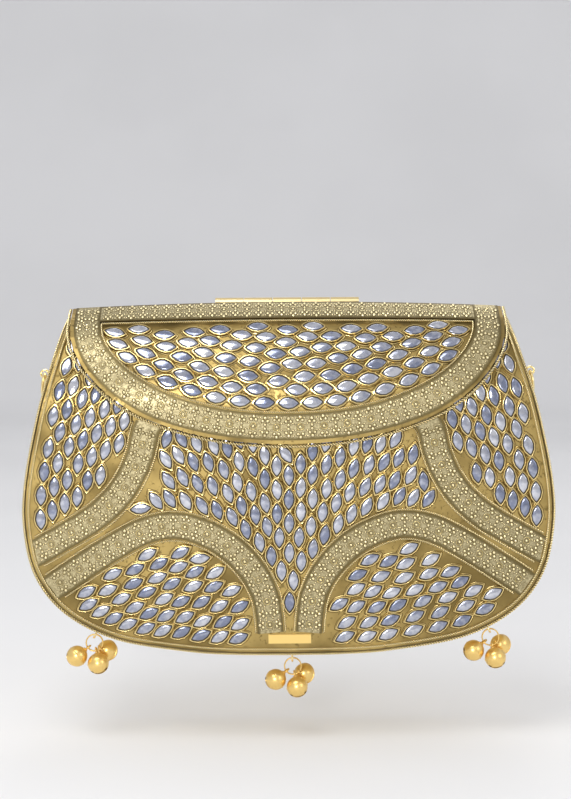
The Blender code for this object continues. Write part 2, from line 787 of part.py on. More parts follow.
def make_strips(bag, brass, pale):
    """The four embossed strips of the front, each with a wire along both sides."""
    edge_inset = INNER_ROPE_INSET + INNER_ROPE_RADIUS + GAP
    for name, shape in (("arch", ARCH_SHAPE), ("shoulder", SHOULDER_SHAPE)):
        centre = band_line(shape)

        def kept(line):
            """The part of a line that lies inside the inner rope."""
            return [
                p for p in line
                if p.x < width_at(p.y, edge_inset) and PLATE_LIFT + PLATE_HEIGHT + GAP < p.y < MOUTH_SILL
                and distance_to(half_outline(edge_inset), p) > STRIP_ROPE_RADIUS
            ]

        half = STRIP_WIDTH / 2
        one, two = kept(offset_line(centre, half)), kept(offset_line(centre, -half))
        loop = one + two[::-1]
        studs = []
        walked = STUD_PITCH
        for a, b in zip(centre, centre[1:]):
            span = (b - a).length
            while walked < span:
                spot = a + (b - a) * walked / span
                if inside(loop, spot) and distance_to(loop + loop[:1], spot) > STUD_SIZE * 0.7:
                    studs.append(stud_boss(spot))
                walked += STUD_PITCH
            walked -= span
        wire = half + GAP + STRIP_ROPE_RADIUS
        wires = [kept(offset_line(centre, wire)), kept(offset_line(centre, -wire))]
        for side, turned in (("right", False), ("left", True)):
            flat = mirrored(loop) if turned else loop
            bosses = [([Vector((-p.x, p.y)) for p in base], [Vector((-p.x, p.y)) for p in top]) for base, top in studs]
            bosses = bosses if turned else studs
            low, high = GAP, GAP + STRIP_THICKNESS
            bag.add(f"{name}_strip_{side}", sheet(flat, low, high, bosses=bosses, rise=STUD_RISE), pale)
            for place_name, line in zip(("outer", "inner"), wires):
                route = [place(-p.x if turned else p.x, p.y, GAP + STRIP_ROPE_RADIUS) for p in line]
                bag.rope(f"{name}_wire_{place_name}_{side}", route, STRIP_ROPE_RADIUS, brass)


def make_shell(bag, brass, velvet):
    """The side band, the back panel, the rail along the top and the lining."""
    start = SHEET + GAP + EDGE_ROPE_RADIUS
    outer = half_outline(0.0001)
    inner = half_outline(0.0001 + SHEET)
    rings = []
    outer_all = mirrored(outer[1:])[::-1] + outer
    inner_all = mirrored(inner[1:])[::-1] + inner
    for out, into in zip(outer_all, inner_all):
        ring = []
        for point in (out, into):
            near = place(point.x, point.y, -start)
            ring.append(near)
        for point in (into, out):
            near = place(point.x, point.y, -start)
            ring.append(Vector((near.x, back_depth(near.z) - GAP, near.z)))
        rings.append(ring)
    bag.add("side_band", loft(rings), brass)

    def on_back(x, up, out=0.0):
        spot = place(x, up, -start)
        return Vector((x, back_depth(spot.z) + out, spot.z))

    inset = EDGE_ROPE_RADIUS * 2 + GAP
    half = half_outline(inset)
    top = [Vector((half[-1].x * share, TOP_LINE)) for share in (0.75, 0.5, 0.25, 0.0)]
    right = half + top
    loop = right + mirrored(right[1:-1])[::-1]
    bag.add("back_panel", sheet(loop, 0.0, SHEET, where=on_back), brass)
    edge = half_outline(EDGE_ROPE_RADIUS)
    route = mirrored(edge[1:])[::-1] + edge
    bag.rope("back_edge_rope", [on_back(p.x, p.y, SHEET / 2) for p in route], EDGE_ROPE_RADIUS, brass)

    sections = []
    reach = inner[-1].x - GAP * 2
    for step in range(-6, 7):
        x = reach * step / 6
        low = place(x, TOP_LINE, -start)
        behind = back_depth(low.z) - GAP
        top_z = place(x, TOP_LINE, 0.0).z + RAIL_RISE
        sections.append([
            Vector((x, low.y + GAP, low.z)), Vector((x, behind, low.z)),
            Vector((x, behind, top_z)), Vector((x, low.y + GAP, top_z)),
        ])
    bag.add("hinge_rail", loft(sections), brass)

    def lining_ring(up, inset, front, back, out_of_mouth=False):
        half_width = width_at(up, inset)
        near = place(half_width, up, -front)
        forward = -SHEET * 8 if out_of_mouth else near.y
        behind = back_depth(near.z) - back
        return [
            Vector((-half_width, forward, near.z)), Vector((half_width, forward, near.z)),
            Vector((half_width, behind, near.z)), Vector((-half_width, behind, near.z)),
        ]

    wall = LINING_THICKNESS
    skin = SHEET + GAP + 0.0001
    base = 0.0026
    heights = [base + (TOP_LINE - 0.003 - base) * (step / 12) ** 1.25 for step in range(13)]
    front = start + GAP
    body = loft([lining_ring(max(up, base), skin, front, GAP * 2) for up in heights])
    hollow = [up for up in heights if base < up < MOUTH_SILL]
    void = loft(
        [lining_ring(base + wall, skin + wall, front + wall, GAP * 2 + wall)]
        + [lining_ring(up, skin + wall, front + wall, GAP * 2 + wall) for up in hollow[1:]]
        + [lining_ring(MOUTH_SILL, skin + wall, front + wall, GAP * 2 + wall)]
        + [lining_ring(MOUTH_SILL + GAP, skin + wall, front + wall, GAP * 2 + wall, True)]
        + [lining_ring(up, skin + wall, front + wall, GAP * 2 + wall, True) for up in heights if up > MOUTH_SILL + SHEET]
        + [lining_ring(TOP_LINE + SHEET, skin + wall, front + wall, GAP * 2 + wall, True)]
    )
    bag.add("body_lining", combined(body, [void], "DIFFERENCE"), velvet)


def flap_loop(edge):
    """The closed loop whose right side this edge is, and the places in it that lie level with each other."""
    across = [Vector((edge[-1].x * share, edge[-1].y)) for share in (0.75, 0.5, 0.25, 0.0)]
    right = edge + across
    loop = right + mirrored(right[1:-1])[::-1]
    return loop, [(index, len(loop) - index) for index in range(1, len(edge) - 1)]


def make_flap(bag, brass, pale, velvet):
    """The flap's sheet with its stones, its band, ropes and lining."""
    edge = flap_edge(0.0, 0.0, FLAP_ROWS)
    loop, ribs = flap_loop(edge)
    bosses = [stone_boss(stone) for stone in flap_field()]
    shell = sheet(loop, FLAP_LIFT, FLAP_OUTER, bosses=bosses, rise=STONE_RISE, ribs=ribs)
    bag.add("flap_shell", shell, brass, "flap_pivot")

    side = FLAP_BAND_INSET
    outer, _ribs = flap_loop(flap_edge(side, side, FLAP_ROWS))
    hole, _ribs = flap_loop(flap_edge(side + FLAP_BAND_WIDTH, side + FLAP_BAND_WIDTH, FLAP_ROWS))
    low = FLAP_OUTER + BAND_SEAT
    middle_edge = flap_edge(side + FLAP_BAND_WIDTH / 2, side, FLAP_ROWS * 6)
    studs, walked = [], STUD_PITCH / 2
    for a, b in zip(middle_edge, middle_edge[1:]):
        span = (b - a).length
        while walked < span:
            spot = a + (b - a) * walked / span
            if spot.y < TOP_LINE - side - FLAP_BAND_WIDTH / 2:
                studs += [stud_boss(spot), stud_boss(Vector((-spot.x, spot.y)))]
            walked += STUD_PITCH
        walked -= span
    band = sheet(outer, low, low + STRIP_THICKNESS, hole=hole, bosses=studs, rise=STUD_RISE)
    bag.add("flap_band", band, pale, "flap_pivot")

    rim = flap_edge(-FLAP_ROPE_RADIUS - GAP, 0.0, FLAP_ROWS)
    route = mirrored(rim[1:])[::-1] + rim
    level = (FLAP_LIFT + FLAP_OUTER) / 2
    points = [place(p.x, p.y, level) for p in route]
    bag.rope("flap_edge_rope", points, FLAP_ROPE_RADIUS, brass, "flap_pivot")
    inset = side + FLAP_BAND_WIDTH + GAP + STRIP_ROPE_RADIUS
    route, _ribs = flap_loop(flap_edge(inset, inset, FLAP_ROWS))
    points = [place(p.x, p.y, low + STRIP_ROPE_RADIUS) for p in route]
    bag.rope("flap_inner_rope", points, STRIP_ROPE_RADIUS, brass, "flap_pivot", closed=True)

    loop, ribs = flap_loop(flap_edge(FLAP_LINING_INSET, FLAP_LINING_INSET, FLAP_ROWS))
    mesh = sheet(loop, FLAP_LIFT - GAP - LINING_THICKNESS, FLAP_LIFT - GAP, ribs=ribs)
    bag.add("flap_lining", mesh, velvet, "flap_pivot")


def hinge_axis():
    """The middle of the flap's hinge, just past the end of its sheet."""
    end = place(0.0, TOP_LINE, FLAP_LIFT)
    along = Vector((0.0, math.sin(BEND_TURN), math.cos(BEND_TURN)))
    return end + along * HINGE_REACH


def make_hinge(bag, brass, steel):
    """Both leaves with their knuckles, and the pin through them."""
    axis = hinge_axis()
    pitch = KNUCKLE_LENGTH + GAP
    width = pitch * KNUCKLE_COUNT - GAP

    def knuckle_span(index):
        left = -width / 2 + index * pitch
        return left, left + KNUCKLE_LENGTH

    rail_top = place(0.0, TOP_LINE, 0.0).z + RAIL_RISE
    leaf_low = rail_top + GAP
    rail_back = back_depth(rail_top) - GAP
    body = box((-width / 2, axis.y - HINGE_REACH / 3, leaf_low), (width / 2, rail_back, leaf_low + LEAF_THICKNESS))
    pieces = []
    for index in range(0, KNUCKLE_COUNT, 2):
        left, right = knuckle_span(index)
        pieces.append(tube(Vector((left, axis.y, axis.z)), Vector((right, axis.y, axis.z)), KNUCKLE_RADIUS, 10))
        pieces.append(box(
            (left, axis.y - LEAF_THICKNESS, leaf_low), (right, axis.y + LEAF_THICKNESS, axis.z - PIN_RADIUS - GAP * 2)
        ))
    joined = combined(body, pieces, "UNION")
    bag.add("body_hinge_leaf", combined(joined, [knuckle_bore(axis, width)], "DIFFERENCE"), brass)

    level = FLAP_LIFT - GAP * 2
    rows = []
    for step in range(3):
        up = TOP_LINE - LEAF_LENGTH * (1 - step / 2)
        top, low = place(0.0, up, level), place(0.0, up, level - LEAF_THICKNESS)
        rows.append([
            Vector((-width / 2, top.y, top.z)), Vector((width / 2, top.y, top.z)),
            Vector((width / 2, low.y, low.z)), Vector((-width / 2, low.y, low.z)),
        ])
    leaf = loft(rows)
    near = place(0.0, TOP_LINE, level - LEAF_THICKNESS / 2)
    pieces = []
    for index in range(1, KNUCKLE_COUNT, 2):
        left, right = knuckle_span(index)
        pieces.append(tube(Vector((left, axis.y, axis.z)), Vector((right, axis.y, axis.z)), KNUCKLE_RADIUS, 10))
        tie = (Vector((0.0, axis.y, axis.z)) - near)
        side = Vector((0.0, -tie.z, tie.y)).normalized() * LEAF_THICKNESS / 2
        back = near - tie.normalized() * LEAF_THICKNESS
        front = near + tie * (1 - (PIN_RADIUS + GAP * 2) / tie.length)
        pieces.append(loft([
            [Vector((x, spot.y, spot.z)) for spot in (back + side, back - side, front - side, front + side)]
            for x in (left, right)
        ]))
    joined = combined(leaf, pieces, "UNION")
    bag.add("flap_hinge_leaf", combined(joined, [knuckle_bore(axis, width)], "DIFFERENCE"), brass, "flap_pivot")
    pin = tube(axis - Vector((width / 2, 0, 0)), axis + Vector((width / 2, 0, 0)), PIN_RADIUS, 8)
    bag.add("hinge_pin", pin, steel)


def knuckle_bore(axis, width):
    """The hole through the knuckles."""
    return tube(axis - Vector((width, 0, 0)), axis + Vector((width, 0, 0)), PIN_RADIUS + GAP, 8)


def make_magnet(bag, steel):
    """The catch: a socket on the front panel and a stud inside the flap."""
    for name, low, pivot in (
        ("magnet_socket", GAP, None),
        ("magnet_stud", FLAP_LIFT - GAP - MAGNET_THICKNESS, "flap_pivot"),
    ):
        start = place(0.0, MAGNET_HEIGHT, low)
        end = place(0.0, MAGNET_HEIGHT, low + MAGNET_THICKNESS)
        bag.add(name, tube(start, end, MAGNET_RADIUS, 16), steel, pivot)


def chain_spot(side):
    """The middle of a chain lug's loop, and the way it faces out of the side."""
    up = bent(CHAIN_HEIGHT)
    width, out = side_normal(up)
    middle = (place(width, up, 0.0).y + back_depth(CHAIN_HEIGHT)) / 2
    base = Vector((width, middle, CHAIN_HEIGHT)) + out * GAP
    spot = base + out * (LUG_FOOT + LUG_RADIUS)
    flip = Vector((side, 1.0, 1.0))
    return base * flip, spot * flip, out * flip


def make_chain_rings(bag, brass):
    """The two side lugs and the rings that a chain would hook into."""
    for name, side in (("left", -1.0), ("right", 1.0)):
        base, spot, out = chain_spot(side)
        lug = lug_mesh()
        lug.transform(Matrix.Rotation(math.pi / 2, 4, "Z"))
        tilt = Matrix.Rotation(math.atan2(out.x, out.z), 4, "Y")
        lug.transform(Matrix.Translation(base) @ tilt)
        bag.add(f"chain_lug_{name}", lug, brass)
        bag.pivot(f"chain_ring_{name}_pivot", spot)
        ring = ring_mesh(CHAIN_RING_RADIUS, CHAIN_WIRE, 14, 5)
        lean = Matrix.Rotation(side * -CHAIN_RING_LEAN, 4, "Y")
        ring.transform(Matrix.Translation(spot) @ lean @ Matrix.Translation((0, 0, -CHAIN_RING_RADIUS)))
        bag.add(f"chain_ring_{name}", ring, brass, f"chain_ring_{name}_pivot")


def bell_layout():
    """Each bell's eye and hanging direction in a bunch, from the lug's wire, turned so that the bunch hangs level."""
    ring_drop = SPLIT_RING_RADIUS - SPLIT_RING_WIRE - LUG_WIRE - GAP
    centre = Vector((0.0, 0.0, -ring_drop))
    bells = []
    weight = Vector((0.0, 0.0, 0.0))
    for seat, swing in BELL_SEATS:
        around, forward = math.radians(seat), math.radians(swing)
        radial = Vector((math.sin(around), 0.0, -math.cos(around)))
        eye = centre + radial * SPLIT_RING_RADIUS
        hang = radial * math.cos(forward) + Vector((0.0, -math.sin(forward), 0.0))
        wire = Vector((math.cos(around), 0.0, math.sin(around)))
        bells.append((eye, hang, wire))
        weight += eye + hang * bell_drop()
    settle = Matrix.Rotation(math.atan2(-weight.x, -weight.z), 4, "Y").inverted()
    return centre, [(settle @ eye, settle @ hang, settle @ wire) for eye, hang, wire in bells], settle


def make_bells(bag, brass, gold):
    """Three bunches, each a lug under the bottom with a ring and three bells."""
    centre, bells, settle = bell_layout()
    for name, x in zip(("left", "middle", "right"), BELL_LUG_PLACES):
        height, out = bottom_normal(x)
        base = Vector((x, BELL_LUG_DEPTH, height)) + out * GAP
        lug = lug_mesh()
        lug.transform(Matrix.Translation(base) @ Matrix.Rotation(math.atan2(out.x, out.z), 4, "Y"))
        bag.add(f"bell_lug_{name}", lug, brass)
        hook = base + out * (LUG_FOOT + LUG_RADIUS * 2)
        bag.pivot(f"bell_ring_{name}_pivot", hook)
        ring = ring_mesh(SPLIT_RING_RADIUS, SPLIT_RING_WIRE, 12, 5)
        ring.transform(Matrix.Translation(hook) @ settle @ Matrix.Translation(centre) @ Matrix.Rotation(math.pi / 2, 4, "Z"))
        bag.add(f"bell_ring_{name}", ring, gold, f"bell_ring_{name}_pivot")
        for number, (eye, hang, wire) in enumerate(bells, 1):
            spot = hook + eye
            pivot = f"bell_{name}_{number}_pivot"
            bag.pivot(pivot, spot, f"bell_ring_{name}_pivot")
            up = -hang
            across = up.cross(wire)
            turn = Matrix((wire, across, up)).transposed().to_4x4()
            bell = bell_mesh()
            bell.transform(Matrix.Translation(spot) @ turn)
            bag.add(f"bell_{name}_{number}", bell, gold, pivot)
            pellet = bmesh.new()
            middle = spot + hang * bell_drop()
            rest = middle - Vector((0, 0, BELL_RADIUS * 0.90 - BELL_WALL - PELLET_RADIUS - GAP))
            bmesh.ops.create_icosphere(pellet, subdivisions=1, radius=PELLET_RADIUS, matrix=Matrix.Translation(rest))
            bag.add(f"pellet_{name}_{number}", pellet, brass, pivot)


def main():
    """Builds the whole bag."""
    clear_scene()
    _base, spot, _out = chain_spot(1.0)
    bag = Bag(Vector((0.0, spot.y, spot.z)))
    brass = bag.finish("brass", BRASS)
    pale = bag.finish("pale_brass", PALE_BRASS)
    gold = bag.finish("bell_gold", BELL_GOLD)
    steel = bag.finish("steel", STEEL)
    velvet = bag.finish("velvet", VELVET)
    make_front(bag, brass, pale)
    make_strips(bag, brass, pale)
    make_shell(bag, brass, velvet)
    bag.pivot("flap_pivot", hinge_axis())
    make_flap(bag, brass, pale, velvet)
    make_hinge(bag, brass, steel)
    make_magnet(bag, steel)
    make_chain_rings(bag, brass)
    make_bells(bag, brass, gold)


main()
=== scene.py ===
"""Looks of the chain clutch bag: stones, embossed strips, twisted wires, bells, velvet and light.

Pieces that lie on the front sheet are modelled flat, in sheet space: X runs across, Y up the sheet
and Z out of its face. They are then wrapped over the same bend that the CAD sheet has.
"""

import json
import logging
import math
import random
from collections.abc import Callable, Iterable
from dataclasses import dataclass, field
from enum import Enum

import bpy
from mathutils import Matrix, Vector, noise

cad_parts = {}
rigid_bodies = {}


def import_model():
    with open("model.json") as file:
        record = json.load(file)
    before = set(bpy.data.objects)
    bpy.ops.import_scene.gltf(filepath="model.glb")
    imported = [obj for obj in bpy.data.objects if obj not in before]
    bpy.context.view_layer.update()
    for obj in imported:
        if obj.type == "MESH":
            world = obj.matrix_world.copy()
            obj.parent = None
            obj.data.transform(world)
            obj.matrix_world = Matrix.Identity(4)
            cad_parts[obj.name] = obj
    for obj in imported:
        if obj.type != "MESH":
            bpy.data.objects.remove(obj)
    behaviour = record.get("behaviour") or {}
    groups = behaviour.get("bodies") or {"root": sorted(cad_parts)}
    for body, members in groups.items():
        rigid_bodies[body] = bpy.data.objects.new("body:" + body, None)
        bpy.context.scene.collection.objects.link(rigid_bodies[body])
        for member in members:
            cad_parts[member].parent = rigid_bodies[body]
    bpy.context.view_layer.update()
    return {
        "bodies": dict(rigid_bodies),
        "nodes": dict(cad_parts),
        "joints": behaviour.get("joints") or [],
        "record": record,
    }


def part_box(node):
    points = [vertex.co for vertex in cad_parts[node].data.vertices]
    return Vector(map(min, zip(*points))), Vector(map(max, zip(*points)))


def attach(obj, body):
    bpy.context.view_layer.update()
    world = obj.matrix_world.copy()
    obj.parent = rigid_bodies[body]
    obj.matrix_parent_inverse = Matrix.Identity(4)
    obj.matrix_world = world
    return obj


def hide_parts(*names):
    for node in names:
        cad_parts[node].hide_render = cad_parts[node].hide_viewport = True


LOG = logging.getLogger("clutch")
Triple = tuple[float, float, float]
Colour = Triple
Point = tuple[float, float]
MM = 0.001
FRAME: dict[str, object] = {}
BUNCHES = ("left", "middle", "right")


class Part(Enum):
    """The elements of a mesh that are picked in edit mode."""

    VERTS = "VERT"
    FACES = "FACE"


class Side(Enum):
    """The two mirrored halves of the front."""

    RIGHT = 1
    LEFT = -1

    @property
    def word(self) -> str:
        """The side's name in the names of the pieces."""
        return self.name.lower()


class Bench:
    """Moves at the modelling bench that every sub-assembly uses."""

    @staticmethod
    def clear() -> None:
        """Leaves nothing selected."""
        if bpy.context.object and bpy.context.object.mode != "OBJECT":
            bpy.ops.object.mode_set(mode="OBJECT")
        bpy.ops.object.select_all(action="DESELECT")

    @classmethod
    def hold(cls, *objects: bpy.types.Object) -> None:
        """Selects these objects and makes the first one active.

        Args:
            objects: The objects to hold.
        """
        cls.clear()
        for item in objects:
            item.select_set(True)
        bpy.context.view_layer.objects.active = objects[0]

    @classmethod
    def pick(cls, item: bpy.types.Object, kind: Part, test: Callable[[Vector], bool]) -> None:
        """Opens the object in edit mode with some of its elements selected.

        Args:
            item: The object to edit.
            kind: The elements that are tested.
            test: Says for a vertex's place or a face's centre whether it is selected.
        """
        cls.hold(item)
        mesh = item.data
        for group in (mesh.vertices, mesh.edges, mesh.polygons):
            group.foreach_set("select", [False] * len(group))
        if kind is Part.FACES:
            for face in mesh.polygons:
                face.select = test(face.center)
        else:
            for vertex in mesh.vertices:
                vertex.select = test(vertex.co)
        bpy.ops.object.mode_set(mode="EDIT")
        bpy.ops.mesh.select_mode(type=kind.value)

    @classmethod
    def open_all(cls, item: bpy.types.Object) -> None:
        """Opens the object in edit mode with all of it selected.

        Args:
            item: The object to edit.
        """
        cls.hold(item)
        bpy.ops.object.mode_set(mode="EDIT")
        bpy.ops.mesh.select_all(action="SELECT")

    @staticmethod
    def close() -> None:
        """Goes back to object mode."""
        bpy.ops.object.mode_set(mode="OBJECT")

    @classmethod
    def named(cls, name: str) -> bpy.types.Object:
        """Names the new primitive.

        Args:
            name: The piece's name.

        Returns:
            The object, with its turn and size in its mesh.
        """
        made = bpy.context.object
        made.name = made.data.name = name
        bpy.ops.object.transform_apply(location=True, rotation=True, scale=True)
        return made

    @classmethod
    def modify(cls, item: bpy.types.Object, kind: str, **settings: object) -> None:
        """Adds one modifier with these settings and applies it.

        Args:
            item: The object that it changes.
            kind: The modifier's type.
            settings: Its settings by name.
        """
        cls.hold(item)
        bpy.ops.object.modifier_add(type=kind)
        modifier = item.modifiers[-1]
        for key, value in settings.items():
            setattr(modifier, key, value)
        bpy.ops.object.modifier_apply(modifier=modifier.name)

    @classmethod
    def copy(cls, item: bpy.types.Object, name: str, turn: Matrix) -> bpy.types.Object:
        """Copies an object with its own mesh.

        Args:
            item: The object to copy.
            name: The copy's name.
            turn: Where the copy goes.

        Returns:
            The copy, with its place in its mesh.
        """
        made = item.copy()
        made.data = item.data.copy()
        made.name = made.data.name = name
        made.data.transform(turn)
        bpy.context.scene.collection.objects.link(made)
        return made

    @classmethod
    def join(cls, name: str, pieces: list[bpy.types.Object]) -> bpy.types.Object:
        """Joins these objects into one with this name.

        Args:
            name: The joined piece's name.
            pieces: The objects to join.

        Returns:
            The joined piece.
        """
        cls.hold(*pieces)
        if len(pieces) > 1:
            bpy.ops.object.join()
        made = bpy.context.object
        made.name = made.data.name = name
        return made

    @classmethod
    def stamp(
        cls, master: bpy.types.Object, name: str, turns: list[Matrix], tints: list[float] | None = None
    ) -> bpy.types.Object:
        """Repeats a master shape, each copy with its own mesh, and joins the copies.

        Args:
            master: The shape that is repeated.
            name: The joined piece's name.
            turns: Where each copy goes.
            tints: A number for each copy that its material may read.

        Returns:
            The joined piece.
        """
        copies = []
        for index, turn in enumerate(turns):
            made = cls.copy(master, f"{name}_{index}", turn)
            if tints is not None:
                shade = made.data.attributes.new("tint", "FLOAT", "POINT")
                shade.data.foreach_set("value", [tints[index]] * len(made.data.vertices))
            copies.append(made)
        return cls.join(name, copies)

    @classmethod
    def outward(cls, item: bpy.types.Object) -> None:
        """Turns all faces of a closed piece outwards.

        Args:
            item: The piece.
        """
        cls.open_all(item)
        bpy.ops.mesh.normals_make_consistent(inside=False)
        cls.close()

    @classmethod
    def cap(cls, item: bpy.types.Object) -> None:
        """Closes the piece's open rims with faces.

        Args:
            item: The piece.
        """
        cls.open_all(item)
        bpy.ops.mesh.select_all(action="DESELECT")
        bpy.ops.mesh.select_mode(type="EDGE")
        bpy.ops.mesh.select_non_manifold()
        bpy.ops.mesh.edge_face_add()
        bpy.ops.mesh.select_all(action="SELECT")
        bpy.ops.mesh.normals_make_consistent(inside=False)
        cls.close()

    @classmethod
    def smooth(cls, item: bpy.types.Object, degrees: float = 35.0) -> None:
        """Shades the piece smooth, with sharp edges beyond this angle."""
        cls.hold(item)
        bpy.ops.object.shade_smooth_by_angle(angle=math.radians(degrees))

    @staticmethod
    def mark(item: bpy.types.Object, depth: Callable[[Vector], float]) -> None:
        """Writes how deep each point lies in a hollow, for the patina and the painted shade that darken it.

        Args:
            item: The piece.
            depth: Gives 0 on a high point and 1 at the bottom of a hollow.
        """
        mesh = item.data
        values = [min(max(depth(vertex.co), 0.0), 1.0) for vertex in mesh.vertices]
        layer = mesh.attributes.get("hollow") or mesh.attributes.new("hollow", "FLOAT", "POINT")
        layer.data.foreach_set("value", values)

    @classmethod
    def bend(cls, item: bpy.types.Object, points: list[Vector]) -> None:
        """Bends a straight piece along X onto a flat route.

        Args:
            item: The piece.
            points: The route's points, across and up.
        """
        data = bpy.data.curves.new("route", "CURVE")
        data.dimensions = "2D"
        line = data.splines.new("POLY")
        line.points.add(len(points) - 1)
        for knot, point in zip(line.points, points):
            knot.co = (point.x, point.y, 0.0, 1.0)
        path = bpy.data.objects.new("route", data)
        bpy.context.scene.collection.objects.link(path)
        cls.modify(item, "CURVE", object=path, deform_axis="POS_X")
        cls.drop(path)

    @staticmethod
    def drop(*objects: bpy.types.Object) -> None:
        """Removes helpers that aren't part of the bag."""
        for item in objects:
            bpy.data.objects.remove(item, do_unlink=True)


@dataclass(frozen=True)
class Form:
    """The bag's sheets: outline, bend and flap, in the sizes of the CAD model, in metres."""

    half_width: float = 0.107
    height: float = 0.139
    bottom_depth: float = 0.044
    top_depth: float = 0.031
    sheet: float = 0.0008
    gap: float = 0.0003
    back_seat: float = 0.0006
    bend_radius: float = 0.044
    bend_turn: float = math.radians(66.0)
    top_bow: float = 0.0024
    mouth_depth: float = 0.0535
    flap_side_gap: float = 0.0024
    flap_drop: float = 0.0633
    flap_straight: float = 0.0135
    flap_roundness: float = 2.1
    flap_lift: float = 0.0028
    flap_rows: int = 40
    outline_steps: int = 6
    origin: Triple = (0.0, 0.017892322, 0.113675468)
    outline_shape: tuple[Point, ...] = (
        (0.000, 0.000), (0.200, 0.002), (0.384, 0.012), (0.655, 0.049), (0.847, 0.126),
        (0.959, 0.237), (1.000, 0.381), (0.992, 0.518), (0.945, 0.698), (0.893, 0.849), (0.845, 1.000),
    )

    @property
    def bend_start(self) -> float:
        """How far up the front its bend starts."""
        return self.height - self.bend_radius * math.sin(self.bend_turn)

    @property
    def top_line(self) -> float:
        """How far up its sheet the front ends."""
        return self.bend_start + self.bend_radius * self.bend_turn

    @property
    def top_half(self) -> float:
        """Half the front's width along its top."""
        return self.half_width * self.outline_shape[-1][0]

    @property
    def sill(self) -> float:
        """How far up the front's sheet its mouth starts."""
        return self.top_line - self.mouth_depth

    @property
    def flap_half_width(self) -> float:
        """Half the flap's width."""
        return self.top_half - self.flap_side_gap

    @property
    def flap_outer(self) -> float:
        """How far out of the front's face the flap's own face lies."""
        return self.flap_lift + self.sheet

    @staticmethod
    def curve_through(points: Iterable[Point], steps: int) -> list[Vector]:
        """Points along a smooth curve through these points.

        Args:
            points: The points that the curve passes.
            steps: How many stretches lie between each two.

        Returns:
            The curve's points in order.
        """
        known = [Vector(point) for point in points]
        ends = [known[0] * 2 - known[1]] + known + [known[-1] * 2 - known[-2]]
        line = []
        for a, b, c, d in zip(ends, ends[1:], ends[2:], ends[3:]):
            for step in range(steps):
                t = step / steps
                square, cube = (2 * a - 5 * b + 4 * c - d) * t * t, (3 * b - a - 3 * c + d) * t ** 3
                line.append(0.5 * (2 * b + (c - a) * t + square + cube))
        return line + [known[-1]]

    @staticmethod
    def length_of(line: list[Vector]) -> float:
        """How long this line is."""
        return sum((b - a).length for a, b in zip(line, line[1:]))

    @staticmethod
    def beside(line: list[Vector], distance: float) -> list[Vector]:
        """The open line moved sideways by this distance, to the left of its direction.

        Args:
            line: The line's points.
            distance: How far it moves, to the right where it is negative.

        Returns:
            The moved points.
        """
        moved = []
        for index, point in enumerate(line):
            along = line[min(index + 1, len(line) - 1)] - line[max(index - 1, 0)]
            moved.append(point + Vector((-along.y, along.x)).normalized() * distance)
        return moved

    def bent(self, height: float) -> float:
        """The distance up the front sheet at which it reaches this height.

        Args:
            height: The height above the bag's lowest point.

        Returns:
            The distance up the sheet.
        """
        if height <= self.bend_start:
            return height
        share = min((height - self.bend_start) / self.bend_radius, math.sin(self.bend_turn))
        return self.bend_start + self.bend_radius * math.asin(share)

    def bow(self, across: float, turn: float) -> float:
        """How far the bent sheet sinks towards its corners."""
        return self.top_bow * (across / self.top_half) ** 2 * min(turn / self.bend_turn, 1.1) ** 2

    def on_front(self, spot: Vector) -> Vector:
        """A point of sheet space on the bent front.

        Args:
            spot: How far across, up the sheet and out of its face the point lies.

        Returns:
            The point in the row's frame.
        """
        turn = max(spot.y - self.bend_start, 0.0) / self.bend_radius
        radius = self.bend_radius + spot.z
        y = self.bend_radius - radius * math.cos(turn) if turn else -spot.z
        z = self.bend_start + radius * math.sin(turn) if turn else spot.y
        return Vector((spot.x, y, z - self.bow(spot.x, turn))) - Vector(self.origin)

    def depth_at(self, height: float) -> float:
        """How far behind the front's face the back lies at this height."""
        return self.bottom_depth + (self.top_depth - self.bottom_depth) * height / self.height

    def on_back(self, spot: Vector) -> Vector:
        """A point of sheet space on the slanting back, in the row's frame.

        Args:
            spot: How far across, up the front's sheet and out of the back's face the point lies.

        Returns:
            The point in the row's frame.
        """
        inside = -(self.sheet + self.gap + self.back_seat)
        near = self.on_front(Vector((spot.x, spot.y, inside))) + Vector(self.origin)
        return Vector((spot.x, self.depth_at(near.z) + spot.z, near.z)) - Vector(self.origin)

    def off_front(self, spot: Vector) -> Vector:
        """The point of sheet space that lies at this point of the row's frame.

        Args:
            spot: The point in the row's frame.

        Returns:
            How far across, up the sheet and out of its face it lies.
        """
        found = spot + Vector(self.origin)
        turn = 0.0
        height = found.z
        for _pass in range(4):
            height = found.z + self.bow(spot.x, turn)
            turn = math.atan2(max(height - self.bend_start, 0.0), self.bend_radius - found.y)
        if turn <= 0.0:
            return Vector((spot.x, height, -found.y))
        reach = math.hypot(height - self.bend_start, self.bend_radius - found.y)
        return Vector((spot.x, self.bend_start + self.bend_radius * turn, reach - self.bend_radius))

    def half_outline(self, inset: float) -> list[Vector]:
        """The right half of the front's outline in sheet space.

        Args:
            inset: How far inside the edge the line runs.

        Returns:
            Points from the bottom centre to the top corner.
        """
        shape = [(u * self.half_width, v * self.height) for u, v in self.outline_shape]
        line = self.curve_through(shape, self.outline_steps)
        moved = self.beside([Vector((-line[1].x, line[1].y))] + line, inset)[1:]
        moved[0].x = 0.0
        return [Vector((point.x, min(self.bent(point.y), self.top_line))) for point in moved]

    def width_at(self, up: float, inset: float) -> float:
        """The half width of the inset front at this distance up its sheet.

        Args:
            up: The distance up the sheet.
            inset: How far inside the edge the width is taken.

        Returns:
            Half the width.
        """
        line = self.half_outline(inset)
        for low, high in zip(line, line[1:]):
            if low.y <= up <= high.y and high.y > low.y:
                return low.x + (high.x - low.x) * (up - low.y) / (high.y - low.y)
        return line[-1].x

